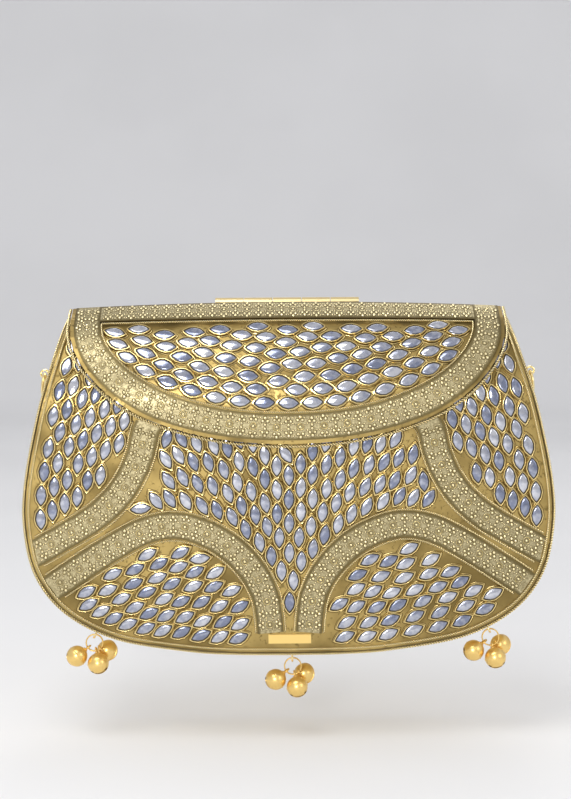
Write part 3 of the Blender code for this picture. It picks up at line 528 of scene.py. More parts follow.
    def flap_half(self, up: float, inset: float) -> float:
        """The half width of the inset flap at this distance up its sheet.

        Args:
            up: The distance up the sheet.
            inset: How far inside the edge the width is taken.

        Returns:
            Half the width.
        """
        centre = self.top_line - self.flap_straight
        drop = self.flap_drop - self.flap_straight - inset
        share = min(max(centre - up, 0.0) / drop, 1.0)
        power = self.flap_roundness
        return (self.flap_half_width - inset) * (1 - share ** power) ** (1 / power)

    def flap_edge(self, inset: float, top_inset: float) -> list[Vector]:
        """The right edge of the inset flap in sheet space, from its lowest point up to its top.

        Args:
            inset: How far inside the round edge the line runs.
            top_inset: How far below the flap's top it ends.

        Returns:
            The line's points.
        """
        centre = self.top_line - self.flap_straight
        half = self.flap_half_width - inset
        drop = self.flap_drop - self.flap_straight - inset
        power = 2 / self.flap_roundness
        edge = []
        for row in range(self.flap_rows + 1):
            angle = math.pi / 2 * row / self.flap_rows
            edge.append(Vector((half * math.sin(angle) ** power, centre - drop * math.cos(angle) ** power)))
        top = self.top_line - top_inset
        if top > centre + self.sheet:
            edge += [Vector((half, centre + (top - centre) * share)) for share in (0.33, 0.67, 1.0)]
        return edge

    @staticmethod
    def whole(half: list[Vector]) -> list[Vector]:
        """The line over both halves, from the left end through the middle to the right end."""
        return [Vector((-point.x, point.y)) for point in half[:0:-1]] + half

    @staticmethod
    def wrap(item: bpy.types.Object, bend: Callable[[Vector], Vector]) -> None:
        """Lays a flat piece on its sheet, and turns its faces outwards.

        Args:
            item: The piece in sheet space.
            bend: Gives the row's frame for a point of sheet space.
        """
        for vertex in item.data.vertices:
            vertex.co = bend(vertex.co)
        Bench.outward(item)


FORM = Form()


class Nodes:
    """A short way to write one shader tree."""

    def __init__(self, tree: bpy.types.NodeTree) -> None:
        """Starts writing in this tree."""
        self.tree = tree

    def add(self, kind: str, **values: object) -> bpy.types.Node:
        """Adds a node.

        Args:
            kind: The node's type, without its ShaderNode prefix.
            values: Settings of the node. A name that starts with in_ and a number fills that input.

        Returns:
            The node.
        """
        made = self.tree.nodes.new(f"ShaderNode{kind}")
        for key, value in values.items():
            if not key.startswith("in_"):
                setattr(made, key, value)
        for key, value in values.items():
            if key.startswith("in_"):
                self.feed(made.inputs[int(key[3:])], value)
        return made

    def feed(self, socket: bpy.types.NodeSocket, value: object) -> None:
        """Links an output to the socket, or writes a value in it.

        Args:
            socket: The input that is fed.
            value: An output, a number or a colour.
        """
        if isinstance(value, bpy.types.NodeSocket):
            self.tree.links.new(value, socket)
        elif isinstance(value, tuple) and len(value) == 3 and socket.type == "RGBA":
            socket.default_value = (*value, 1.0)
        else:
            socket.default_value = value

    def maths(self, operation: str, *inputs: object) -> bpy.types.NodeSocket:
        """One step of arithmetic on these values.

        Args:
            operation: The name of the step.
            inputs: Numbers or outputs, in the node's order.

        Returns:
            The result.
        """
        made = self.add("Math", operation=operation)
        for socket, value in zip(made.inputs, inputs):
            self.feed(socket, value)
        return made.outputs[0]

    def ramp(self, value: object, low: float, high: float) -> bpy.types.NodeSocket:
        """Stretches a value so that low becomes 0 and high becomes 1, smoothly."""
        made = self.add("MapRange", interpolation_type="SMOOTHSTEP", in_0=value, in_1=low, in_2=high)
        return made.outputs[0]

    def blend(self, share: object, low: object, high: object) -> bpy.types.NodeSocket:
        """A colour between two colours.

        Args:
            share: 0 for the low colour and 1 for the high one.
            low: The low colour.
            high: The high colour.

        Returns:
            The mixed colour.
        """
        made = self.add("Mix", data_type="RGBA", in_0=share)
        self.feed(made.inputs[6], low)
        self.feed(made.inputs[7], high)
        return made.outputs[2]

    def bump(self, shader: bpy.types.Node, height: object, strength: float, distance: float) -> None:
        """Roughens the shader's surface by this height.

        Args:
            shader: The surface's shader.
            height: How high each point stands, from 0 to 1.
            strength: How much of it shows.
            distance: The height of 1, in metres.
        """
        made = self.add("Bump")
        made.inputs["Strength"].default_value = strength
        made.inputs["Distance"].default_value = distance
        self.feed(made.inputs["Height"], height)
        self.feed(shader.inputs["Normal"], made.outputs["Normal"])

    def noise(self, place: object, scale: float, detail: float = 3.0) -> bpy.types.NodeSocket:
        """Noise on this place, from about 0.3 to 0.7.

        Args:
            place: The place that it is read at.
            scale: How fine it is.
            detail: How many finer layers it has.

        Returns:
            The noise.
        """
        made = self.add("TexNoise", in_0=place)
        made.inputs["Scale"].default_value = scale
        made.inputs["Detail"].default_value = detail
        return made.outputs[0]


def build_group(name: str, inputs: dict[str, object], outputs: dict[str, str]) -> bpy.types.NodeTree:
    """Starts a shader node group.

    Args:
        name: The group's name.
        inputs: The default value of each input, a colour as three numbers.
        outputs: The socket type of each output.

    Returns:
        The group's tree, with its group input and output nodes.
    """
    tree = bpy.data.node_groups.new(name, "ShaderNodeTree")
    for key, value in inputs.items():
        kind = "NodeSocketColor" if isinstance(value, tuple) else "NodeSocketFloat"
        socket = tree.interface.new_socket(key, in_out="INPUT", socket_type=kind)
        socket.default_value = (*value, 1.0) if isinstance(value, tuple) else value
    for key, kind in outputs.items():
        tree.interface.new_socket(key, in_out="OUTPUT", socket_type=kind)
    tree.nodes.new("NodeGroupInput").name = "In"
    tree.nodes.new("NodeGroupOutput").name = "Out"
    return tree


def aged_metal_group() -> bpy.types.NodeTree:
    """The surface of old polished brass: patina and painted shade in its hollows, specks, and hand-hammered
    unevenness.

    Returns:
        A group with colour, roughness and height outputs.
    """
    found = bpy.data.node_groups.get("aged_metal")
    if found:
        return found
    tree = build_group(
        "aged_metal",
        {
            "Bright": (0.8, 0.7, 0.4), "Patina": (0.1, 0.07, 0.03), "Tarnish": 0.25, "Speck": 0.3,
            "Polish": 0.25, "Grain": 900.0,
        },
        {"Color": "NodeSocketColor", "Roughness": "NodeSocketFloat", "Height": "NodeSocketFloat"},
    )
    n = Nodes(tree)
    given, out = tree.nodes["In"].outputs, tree.nodes["Out"].inputs
    place = n.add("TexCoord").outputs["Object"]
    hollow = n.add("Attribute", attribute_name="hollow").outputs["Fac"]
    clouds = n.ramp(n.noise(place, 38.0, 4.0), 0.38, 0.68)
    fine = n.add("TexNoise", in_0=place)
    n.feed(fine.inputs["Scale"], given["Grain"])
    fine.inputs["Detail"].default_value = 4.0
    specks = n.ramp(fine.outputs[0], 0.52, 0.68)
    dull = n.maths("MULTIPLY", clouds, given["Tarnish"])
    pits = n.maths("MULTIPLY", specks, given["Speck"])
    uneven = n.maths("MULTIPLY", n.maths("SUBTRACT", fine.outputs[0], 0.5), 0.5)
    # edge is the hollow mark: it darkens hollows, gaps and the feet of parts towards the patina colour, as
    # patina and as painted shade.
    edge = n.ramp(n.maths("ADD", hollow, uneven), 0.15, 0.85)
    tarnish_and_shade = n.maths("MAXIMUM", n.maths("MAXIMUM", dull, pits), edge)
    n.feed(out["Color"], n.blend(tarnish_and_shade, given["Bright"], given["Patina"]))
    rough = n.maths("ADD", given["Polish"], n.maths("MULTIPLY", tarnish_and_shade, 0.28))
    n.feed(out["Roughness"], n.maths("MINIMUM", rough, 0.8))
    grain, crust = n.maths("MULTIPLY", fine.outputs[0], 0.6), n.maths("MULTIPLY", tarnish_and_shade, 0.4)
    n.feed(out["Height"], n.maths("SUBTRACT", grain, crust))
    return tree


@dataclass(frozen=True)
class Finish:
    """What a surface is made of."""

    name: str

    def material(self) -> bpy.types.Material:
        """The finish as a material, built once.

        Returns:
            The material.
        """
        found = bpy.data.materials.get(self.name)
        if found:
            return found
        made = bpy.data.materials.new(self.name)
        made.use_nodes = True
        self.write(Nodes(made.node_tree), made.node_tree.nodes["Principled BSDF"])
        return made

    def write(self, n: Nodes, shader: bpy.types.Node) -> None:
        """Writes the finish's own nodes in its new tree."""
        raise NotImplementedError


@dataclass(frozen=True)
class BrassFinish(Finish):
    """One finish of brass: its clean colour, the colour of its patina and painted shade, and how even its
    polish is.
    """

    bright: Colour
    patina: Colour
    tarnish: float = 0.3
    speck: float = 0.3
    polish: float = 0.25
    grain: float = 900.0
    bump: float = 0.25
    bump_depth: float = 0.00008

    def write(self, n: Nodes, shader: bpy.types.Node) -> None:
        """Writes metal with patina and painted shade in its hollows.

        Args:
            n: The material's tree.
            shader: Its shader.
        """
        group = n.add("Group")
        group.node_tree = aged_metal_group()
        for key, value in (
            ("Bright", self.bright), ("Patina", self.patina), ("Tarnish", self.tarnish),
            ("Speck", self.speck), ("Polish", self.polish), ("Grain", self.grain),
        ):
            n.feed(group.inputs[key], value)
        n.feed(shader.inputs["Base Color"], group.outputs["Color"])
        n.feed(shader.inputs["Roughness"], group.outputs["Roughness"])
        shader.inputs["Metallic"].default_value = 1.0
        n.bump(shader, group.outputs["Height"], self.bump, self.bump_depth)


@dataclass(frozen=True)
class StoneFinish(Finish):
    """Mirror glass that runs from white to a pale blue, stone by stone."""

    name: str = "mirror_glass"
    white: Colour = (0.61, 0.615, 0.655)
    blue: Colour = (0.19, 0.215, 0.31)
    # rim: painted shade round each stone's edge, where it sinks into its bezel.
    rim: Colour = (0.07, 0.065, 0.07)

    def write(self, n: Nodes, shader: bpy.types.Node) -> None:
        """Writes foiled glass whose rim, where it sits in its bezel, is painted dark as shade.

        Args:
            n: The material's tree.
            shader: Its shader.
        """
        place = n.add("TexCoord").outputs["Object"]
        tint = n.add("Attribute", attribute_name="tint").outputs["Fac"]
        hollow = n.add("Attribute", attribute_name="hollow").outputs["Fac"]
        foil = n.ramp(n.noise(place, 420.0, 3.0), 0.36, 0.66)
        share = n.maths("ADD", n.maths("MULTIPLY", tint, 0.80), n.maths("MULTIPLY", foil, 0.45))
        body = n.blend(n.maths("MINIMUM", share, 1.0), self.white, self.blue)
        # Painted shade: the hollow mark darkens each stone's outer rings to the rim colour.
        n.feed(shader.inputs["Base Color"], n.blend(n.ramp(hollow, 0.15, 0.85), body, self.rim))
        n.feed(shader.inputs["Roughness"], n.maths("ADD", n.maths("MULTIPLY", foil, 0.10), 0.10))
        shader.inputs["Metallic"].default_value = 0.85
        shader.inputs["Coat Weight"].default_value = 1.0
        shader.inputs["Coat Roughness"].default_value = 0.04
        n.bump(shader, n.noise(place, 650.0, 2.0), 0.35, 0.0001)


@dataclass(frozen=True)
class VelvetFinish(Finish):
    """Short brown velvet pile with a sheen."""

    name: str = "brown_velvet"
    deep: Colour = (0.045, 0.018, 0.012)
    light: Colour = (0.13, 0.055, 0.035)

    def write(self, n: Nodes, shader: bpy.types.Node) -> None:
        """Writes pile that is brushed one way and the other.

        Args:
            n: The material's tree.
            shader: Its shader.
        """
        place = n.add("TexCoord").outputs["Object"]
        pile = n.noise(place, 2600.0, 2.0)
        brushed = n.ramp(n.noise(place, 60.0, 4.0), 0.35, 0.7)
        tips = n.maths("MULTIPLY", n.maths("SUBTRACT", pile, 0.4), 1.2)
        share = n.maths("ADD", n.maths("MULTIPLY", brushed, 0.6), tips)
        n.feed(shader.inputs["Base Color"], n.blend(n.ramp(share, 0.0, 1.0), self.deep, self.light))
        n.feed(shader.inputs["Roughness"], n.maths("ADD", n.maths("MULTIPLY", pile, 0.2), 0.75))
        shader.inputs["Sheen Weight"].default_value = 0.8
        shader.inputs["Sheen Roughness"].default_value = 0.4
        shader.inputs["Sheen Tint"].default_value = (0.75, 0.5, 0.4, 1.0)
        n.bump(shader, pile, 0.6, 0.0003)


@dataclass(frozen=True)
class FloorFinish(Finish):
    """A pale matt floor, faintly uneven."""

    name: str = "pale_floor"
    low: Colour = (0.80, 0.80, 0.80)
    high: Colour = (0.84, 0.84, 0.84)

    def write(self, n: Nodes, shader: bpy.types.Node) -> None:
        """Writes a matt surface with soft mottling.

        Args:
            n: The material's tree.
            shader: Its shader.
        """
        place = n.add("TexCoord").outputs["Object"]
        mottle = n.ramp(n.noise(place, 3.0), 0.3, 0.7)
        n.feed(shader.inputs["Base Color"], n.blend(mottle, self.low, self.high))
        shader.inputs["Roughness"].default_value = 0.9


# Sheet brass between the stones: its own patina, darkened further as painted shade between the bezels.
SHEET_BRASS_WITH_SHADE = BrassFinish(
    "sheet_brass", (0.45, 0.325, 0.115), (0.070, 0.046, 0.014), 0.65, 0.60, 0.34, 700.0, 0.5,
)
PLAIN_BRASS = BrassFinish(
    "plain_brass", (0.78, 0.63, 0.33), (0.34, 0.25, 0.10), 0.30, 0.22, 0.30, 260.0, 0.30,
)
WIRE_GOLD = BrassFinish(
    "wire_gold", (1.0, 0.84, 0.46), (0.10, 0.062, 0.018), 0.05, 0.10, 0.22, 1500.0, 0.2,
)
BEZEL_GOLD = BrassFinish(
    "bezel_gold", (0.95, 0.75, 0.34), (0.12, 0.080, 0.024), 0.15, 0.20, 0.18, 1500.0, 0.2,
)
STRIP_BRASS = BrassFinish(
    "strip_brass", (0.93, 0.81, 0.49), (0.16, 0.125, 0.055), 0.30, 0.50, 0.20, 1300.0, 0.5,
)
BELL_GOLD = BrassFinish(
    "bell_gold", (0.76, 0.54, 0.20), (0.24, 0.14, 0.040), 0.55, 0.45, 0.24, 900.0, 0.35,
)
STEEL = BrassFinish("plain_steel", (0.60, 0.60, 0.60), (0.22, 0.21, 0.20), 0.25, 0.25, 0.30, 900.0, 0.2)
MIRROR_GLASS = StoneFinish()
VELVET = VelvetFinish()


def dress(item: bpy.types.Object, finish: Finish) -> None:
    """Gives every face of an object this finish."""
    item.data.materials.clear()
    item.data.materials.append(finish.material())


@dataclass
class TwistedWire:
    """A wire of two strands twisted round each other, laid along a route in sheet space."""

    radius: float
    pitch: float
    steps: int = 8
    sides: int = 12
    profile: tuple[Point, ...] = ((90.0, 0.34), (60.0, 0.62), (120.0, 0.62), (30.0, 0.88), (150.0, 0.88))

    @classmethod
    def rope(cls, radius: float) -> "TwistedWire":
        """A rope of this radius, with as long a twist as all the thicker ropes have."""
        return cls(radius, radius * 3.6)

    def straight(self, name: str, length: float) -> bpy.types.Object:
        """One straight twisted wire along X.

        Args:
            name: The piece's name.
            length: How long it is.

        Returns:
            The closed wire, with its grooves marked for patina and painted shade.
        """
        Bench.clear()
        bpy.ops.mesh.primitive_circle_add(
            vertices=self.sides, radius=self.radius, rotation=(0.0, math.pi / 2, 0.0),
        )
        made = Bench.named(name)
        near, waist = self.radius / 9, self.profile[0][1]
        for turn, share in self.profile:
            angle = math.radians(turn)
            heading = Vector((0.0, math.cos(angle), math.sin(angle))) * self.radius
            Bench.pick(made, Part.VERTS, lambda co: min((co - heading).length, (co + heading).length) < near)
            bpy.ops.transform.resize(value=(1.0, share, share))
            Bench.close()
        turns = max(round(length / self.pitch * 2), 2) / 2
        steps = int(self.steps * turns)
        Bench.modify(
            made, "SCREW", axis="X", angle=math.tau * turns, screw_offset=length, steps=steps,
            render_steps=steps, use_normal_calculate=True, use_smooth_shade=True,
        )
        Bench.cap(made)
        # Patina and painted shade: the grooves between the strands take the hollow mark.
        Bench.mark(made, lambda co: 1.0 - (math.hypot(co.y, co.z) / self.radius - waist) / 0.5)
        return made

    def lay(
        self, name: str, route: list[Vector], level: float, bend: Callable[[Vector], Vector],
        closed: bool = False,
    ) -> bpy.types.Object:
        """The wire along its route on a sheet.

        Args:
            name: The piece's name.
            route: Points of sheet space, across and up.
            level: How far out of the sheet's face the wire's middle lies.
            bend: Lays sheet space on its sheet.
            closed: Whether the route ends where it starts.

        Returns:
            The wire.
        """
        points = route + route[:1] if closed else route
        made = self.straight(name, Form.length_of(points))
        Bench.bend(made, points)
        for vertex in made.data.vertices:
            vertex.co.z += level
        Form.wrap(made, bend)
        Bench.smooth(made, 60.0)
        return made


@dataclass
class Stones:
    """Almond stones in bezels, one on each boss of a CAD sheet."""

    length: float = 0.0094
    width: float = 0.0050
    rise: float = 0.0013
    segments: int = 12
    roundness: float = 1.7
    ridge: float = 0.4
    ridge_slack: float = 0.03
    boss_rise: float = 0.9
    end_taper: float = 2.8
    lean: float = 3.0
    nod: float = 1.5
    seed: int = 7
    # The third number of each step is the hollow mark: patina and painted shade at each bezel's foot, in its
    # groove and inside its lip, and painted shade round the stone's edge.
    bezel_steps: tuple[Triple, ...] = (
        (-0.80, 0.0, 1.0), (-0.62, 0.06, 1.0), (-0.40, 0.26, 0.0), (-0.20, 0.22, 1.0),
        (-0.12, 1.30, 0.0), (0.12, 1.33, 0.0), (0.20, 0.90, 1.0),
    )
    stone_steps: tuple[Triple, ...] = (
        (0.18, 0.88, 1.0), (0.42, 1.08, 1.0), (0.76, 1.34, 0.35), (1.06, 1.42, 0.0),
    )

    def size(self, inward: float) -> Point:
        """The almond's length and width this many millimetres inside its outline."""
        return self.length - inward * self.end_taper * MM, self.width - inward * 2.0 * MM

    def almond(self, name: str, steps: tuple[Triple, ...]) -> bpy.types.Object:
        """A closed almond that steps inwards and upwards.

        Args:
            name: The piece's name.
            steps: How far inside the outline each ring of the shape lies and how high, in
            millimetres, and how much patina and painted shade it holds.

        Returns:
            The shape.
        """
        Bench.clear()
        bpy.ops.mesh.primitive_circle_add(vertices=self.segments, radius=0.5, fill_type="NGON")
        made = Bench.named(name)
        inward, level, _deep = steps[0]
        size = self.size(inward)
        for vertex in made.data.vertices:
            share = math.copysign(abs(vertex.co.y * 2) ** self.roundness, vertex.co.y)
            vertex.co = (vertex.co.x * size[0], share * size[1] / 2, level * MM)
        Bench.pick(made, Part.FACES, lambda co: True)
        for inward, up, _deep in steps[1:]:
            following = self.size(inward)
            rise = (0.0, 0.0, (up - level) * MM)
            bpy.ops.mesh.extrude_region_move(TRANSFORM_OT_translate={"value": rise})
            bpy.ops.transform.resize(value=(following[0] / size[0], following[1] / size[1], 1.0))
            size, level = following, up
        Bench.close()
        Bench.outward(made)
        hollows = {round(up * 100): deep for _inward, up, deep in steps}
        Bench.mark(made, lambda co: hollows[round(co.z / MM * 100)])
        Bench.smooth(made, 42.0)
        return made

    def spots(self, node: str, low: float) -> list[tuple[Vector, float]]:
        """Where the bosses of a CAD sheet are.

        Args:
            node: The CAD node that carries them.
            low: The level of the sheet's face in sheet space.

        Returns:
            Each boss's middle and the angle of its long axis.
        """
        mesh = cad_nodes()[node].data
        flat = [FORM.off_front(vertex.co) for vertex in mesh.vertices]
        found: list[tuple[Vector, float]] = []
        for face in mesh.polygons:
            corners = list(face.vertices)
            for a, b in zip(corners, corners[1:] + corners[:1]):
                start, end = flat[a], flat[b]
                along = end - start
                if min(start.z, end.z) < low + self.rise * self.boss_rise:
                    continue
                if abs(along.length / self.length - self.ridge) > self.ridge_slack:
                    continue
                middle = Vector(((start.x + end.x) / 2, (start.y + end.y) / 2, low))
                if all((middle - other).length > self.width / 4 for other, _angle in found):
                    found.append((middle, math.atan2(along.y, along.x) % math.pi))
        return sorted(found, key=lambda spot: (round(spot[0].y, 4), spot[0].x))

    def build(self, node: str, low: float, body: str, more: tuple[Triple, ...] = ()) -> None:
        """Sets a bezel and a stone on every boss of a sheet.

        Args:
            node: The CAD node that carries the bosses.
            low: The level of the sheet's face.
            body: The body that they ride on.
            more: Stones in the corners of the fields: across and up in millimetres, and the angle
                in degrees.
        """
        dice = random.Random(self.seed)
        spots = self.spots(node, low)
        spots += [(Vector((x * MM, y * MM, low)), math.radians(angle)) for x, y, angle in more]
        flat, tilted, tints = [], [], []
        for middle, angle in spots:
            turn = Matrix.Translation(middle) @ Matrix.Rotation(angle, 4, "Z")
            flat.append(turn)
            lean = Matrix.Rotation(math.radians(dice.uniform(-self.lean, self.lean)), 4, "X")
            nod = Matrix.Rotation(math.radians(dice.uniform(-self.nod, self.nod)), 4, "Y")
            tilted.append(turn @ lean @ nod)
            tints.append(dice.uniform(0.0, 1.0))
        for word, steps, turns, finish, slot in (
            ("bezels", self.bezel_steps, flat, BEZEL_GOLD, "brass"),
            ("stones", self.stone_steps, tilted, MIRROR_GLASS, "mirror_stone"),
        ):
            master = self.almond(word, steps)
            made = Bench.stamp(master, f"{node}_{word}", turns, tints)
            Bench.drop(master)
            Form.wrap(made, FORM.on_front)
            dress(made, finish)
            settle(made, body, slot)


@dataclass
class Embossing:
    """The stamped pattern of the strips: columns of domes, every other one with a ring and dot."""

    dome: float = 0.00074
    skirt: float = 0.00098
    dome_rise: float = 0.00050
    ring: float = 0.00135
    ring_wire: float = 0.00030
    pitch: float = 0.0047
    skirt_rise: float = 0.00004
    fancy_rows: Point = (4.0, 2.75)
    plain_rows: Point = (3.5, 2.25)
    spread: float = 0.95
    dot_size: float = 0.50
    dot_spots: tuple[Point, ...] = tuple((x, y) for x in (1.85, -1.85) for y in (1.35, -1.35, 3.60, -3.60))
    masters: dict[str, bpy.types.Object] = field(default_factory=dict)

    def make_dome(self, name: str) -> bpy.types.Object:
        """One small dome on a foot that is painted dark as shade round it.

        Args:
            name: The shape's name.

        Returns:
            The shape.
        """
        Bench.clear()
        bpy.ops.mesh.primitive_circle_add(vertices=8, radius=self.skirt, fill_type="NGON")
        made = Bench.named(name)
        Bench.pick(made, Part.FACES, lambda co: True)
        bpy.ops.mesh.inset(thickness=self.skirt - self.dome, depth=self.skirt_rise)
        bpy.ops.mesh.inset(thickness=self.dome * 0.22, depth=self.dome_rise * 0.65)
        bpy.ops.mesh.inset(thickness=self.dome * 0.40, depth=self.dome_rise * 0.35)
        Bench.close()
        Bench.cap(made)
        # Painted shade: the foot and the dome's lower half take the hollow mark, dark round each dome.
        Bench.mark(made, lambda co: 1.0 - co.z / (self.dome_rise * 0.5))
        return made

    def make_ring(self, name: str) -> bpy.types.Object:
        """One raised ring.

        Args:
            name: The shape's name.

        Returns:
            The shape.
        """
        Bench.clear()
        bpy.ops.mesh.primitive_torus_add(
            major_radius=self.ring, minor_radius=self.ring_wire, major_segments=12, minor_segments=4,
        )
        made = Bench.named(name)
        Bench.pick(made, Part.VERTS, lambda co: co.z < 0)
        bpy.ops.transform.resize(value=(1.0, 1.0, 0.2))
        Bench.close()
        # Painted shade: the ring's lower side takes the hollow mark.
        Bench.mark(made, lambda co: 1.0 - co.z / self.ring_wire)
        return made

    def column(self, fancy: bool) -> bpy.types.Object:
        """The master of one column across the strip.

        Args:
            fancy: Whether it has the ring and dot in its middle.

        Returns:
            The joined column.
        """
        name = "fancy_column" if fancy else "plain_column"
        if name in self.masters:
            return self.masters[name]
        dome = self.make_dome("dome")
        apex, pair = self.fancy_rows if fancy else self.plain_rows
        spots = [(0.0, apex, 1.0), (self.spread, pair, 0.9), (-self.spread, pair, 0.9)]
        spots += [(x, -y, size) for x, y, size in spots]
        spots += [(0.0, 0.0, 0.85)] if fancy else [(0.0, 0.78, 0.85), (0.0, -0.78, 0.85)]
        spots += [(x, y, self.dot_size) for x, y in self.dot_spots]
        pieces = []
        for index, (x, y, size) in enumerate(spots):
            turn = Matrix.Translation((x * MM, y * MM, 0.0)) @ Matrix.Diagonal((size, size, size, 1.0))
            pieces.append(Bench.copy(dome, f"{name}_{index}", turn))
        if fancy:
            pieces.append(self.make_ring("ring"))
        Bench.drop(dome)
        self.masters[name] = Bench.join(name, pieces)
        return self.masters[name]

    def along(
        self, name: str, line: list[Vector], level: float, keep: Callable[[Vector], bool]
    ) -> bpy.types.Object:
        """The columns along a strip, in sheet space.

        Args:
            name: The piece's name.
            line: The strip's centre line.
            level: The strip's face.
            keep: Whether a column may stand at a point.

        Returns:
            All columns as one piece.
        """
        length = Form.length_of(line)
        count = int(length / self.pitch)
        walked = (length - (count - 1) * self.pitch) / 2
        turns: dict[bool, list[Matrix]] = {True: [], False: []}
        index = 0
        for a, b in zip(line, line[1:]):
            span = (b - a).length
            while walked < span:
                spot = a + (b - a) * walked / span
                if keep(spot):
                    heading = Matrix.Rotation(math.atan2(b.y - a.y, b.x - a.x), 4, "Z")
                    turns[index % 2 == 0].append(Matrix.Translation((spot.x, spot.y, level)) @ heading)
                index += 1
                walked += self.pitch
            walked -= span
        return Bench.join(name, [
            Bench.stamp(self.column(fancy), f"{name}_{fancy}", spots)
            for fancy, spots in turns.items() if spots
        ])


@dataclass
class EmbossedStrip:
    """A strip of sheet brass with stamped columns, laid on the front or the flap."""

    width: float
    thickness: float
    low: float
    embossing: Embossing
    # ground: the hollow mark of the flat strip between the domes, patina and painted shade; rim: the share
    # of each half width at the edges that darkens as painted shade beside the wires.
    ground: float = 0.60
    rim: float = 0.12
    grid: float = 0.0022
    cut_margin: float = 2.2

    def ribbon(self, name: str, line: list[Vector], cuts: list[tuple[Vector, Vector]]) -> bpy.types.Object:
        """The strip's plain sheet in sheet space.

        Args:
            name: The piece's name.
            line: Its centre line.
            cuts: A point and an outward direction for each end that is cut off.

        Returns:
            The closed sheet.
        """
        length = Form.length_of(line)
        Bench.clear()
        bpy.ops.mesh.primitive_grid_add(
            x_subdivisions=max(int(length / self.grid), 8), y_subdivisions=8, size=1.0,
            location=(length / 2, 0.0, 0.0),
        )
        bpy.context.object.scale = (length, self.width, 1.0)
        made = Bench.named(name)
        inside = 1.0 - self.rim
        # Patina and painted shade: the ground takes a steady hollow mark that rises to 1 at both edges.
        Bench.mark(made, lambda co: max((abs(co.y) / (self.width / 2) - inside) / self.rim, self.ground))
        Bench.bend(made, line)
        for spot, outward in cuts:
            Bench.open_all(made)
            bpy.ops.mesh.bisect(
                plane_co=(spot.x, spot.y, 0.0), plane_no=(outward.x, outward.y, 0.0), clear_outer=True,
            )
            Bench.close()
        for vertex in made.data.vertices:
            vertex.co.z = self.low + self.thickness
        Bench.modify(made, "SOLIDIFY", thickness=self.thickness, offset=-1.0)
        return made

    def build(
        self, name: str, line: list[Vector], cuts: list[tuple[Vector, Vector]], mirror: bool = False
    ) -> bpy.types.Object:
        """The strip with its columns, bent over its sheet.

        Args:
            name: The piece's name.
            line: Its centre line on the right half.
            cuts: Where its ends are cut.
            mirror: Whether it lies on the left half.

        Returns:
            The piece.
        """
        margin = self.embossing.skirt * self.cut_margin
        columns = self.embossing.along(
            f"{name}_columns", line, self.low + self.thickness,
            lambda spot: all((spot - point).dot(outward) < -margin for point, outward in cuts),
        )
        made = Bench.join(name, [self.ribbon(name, line, cuts), columns])
        if mirror:
            made.data.transform(Matrix.Diagonal((-1.0, 1.0, 1.0, 1.0)))
        Form.wrap(made, FORM.on_front)
        Bench.smooth(made, 40.0)
        dress(made, STRIP_BRASS)
        return made


def report(item: bpy.types.Object) -> None:
    """Logs a finished piece."""
    LOG.info("%s: %d faces", item.name, len(item.data.polygons))


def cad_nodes() -> dict[str, bpy.types.Object]:
    """The CAD nodes by name."""
    return FRAME["nodes"]


def joint_of(body: str) -> tuple[Vector, Vector]:
    """Where a body's joint is, and its axis."""
    found = next(joint for joint in FRAME["joints"] if joint["child"] == body)
    return Vector(found["pos_m"]), Vector(found["axis"]).normalized()


def box_middle(node: str) -> Vector:
    """The middle of a CAD node's box."""
    low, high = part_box(node)
    return (Vector(low) + Vector(high)) / 2


def middle_of(node: str) -> Vector:
    """The mean of a CAD node's points."""
    points = [vertex.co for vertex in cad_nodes()[node].data.vertices]
    return sum(points, Vector()) / len(points)


def settle(item: bpy.types.Object, body: str, slot: str, *nodes: str) -> None:
    """Makes a finished piece ride on its body and stand for its CAD nodes.

    Args:
        item: The piece.
        body: The body that it rides on.
        slot: Not used.
        nodes: The CAD nodes that it stands for.
    """
    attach(item, body)
    if nodes:
        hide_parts(*nodes)
    report(item)


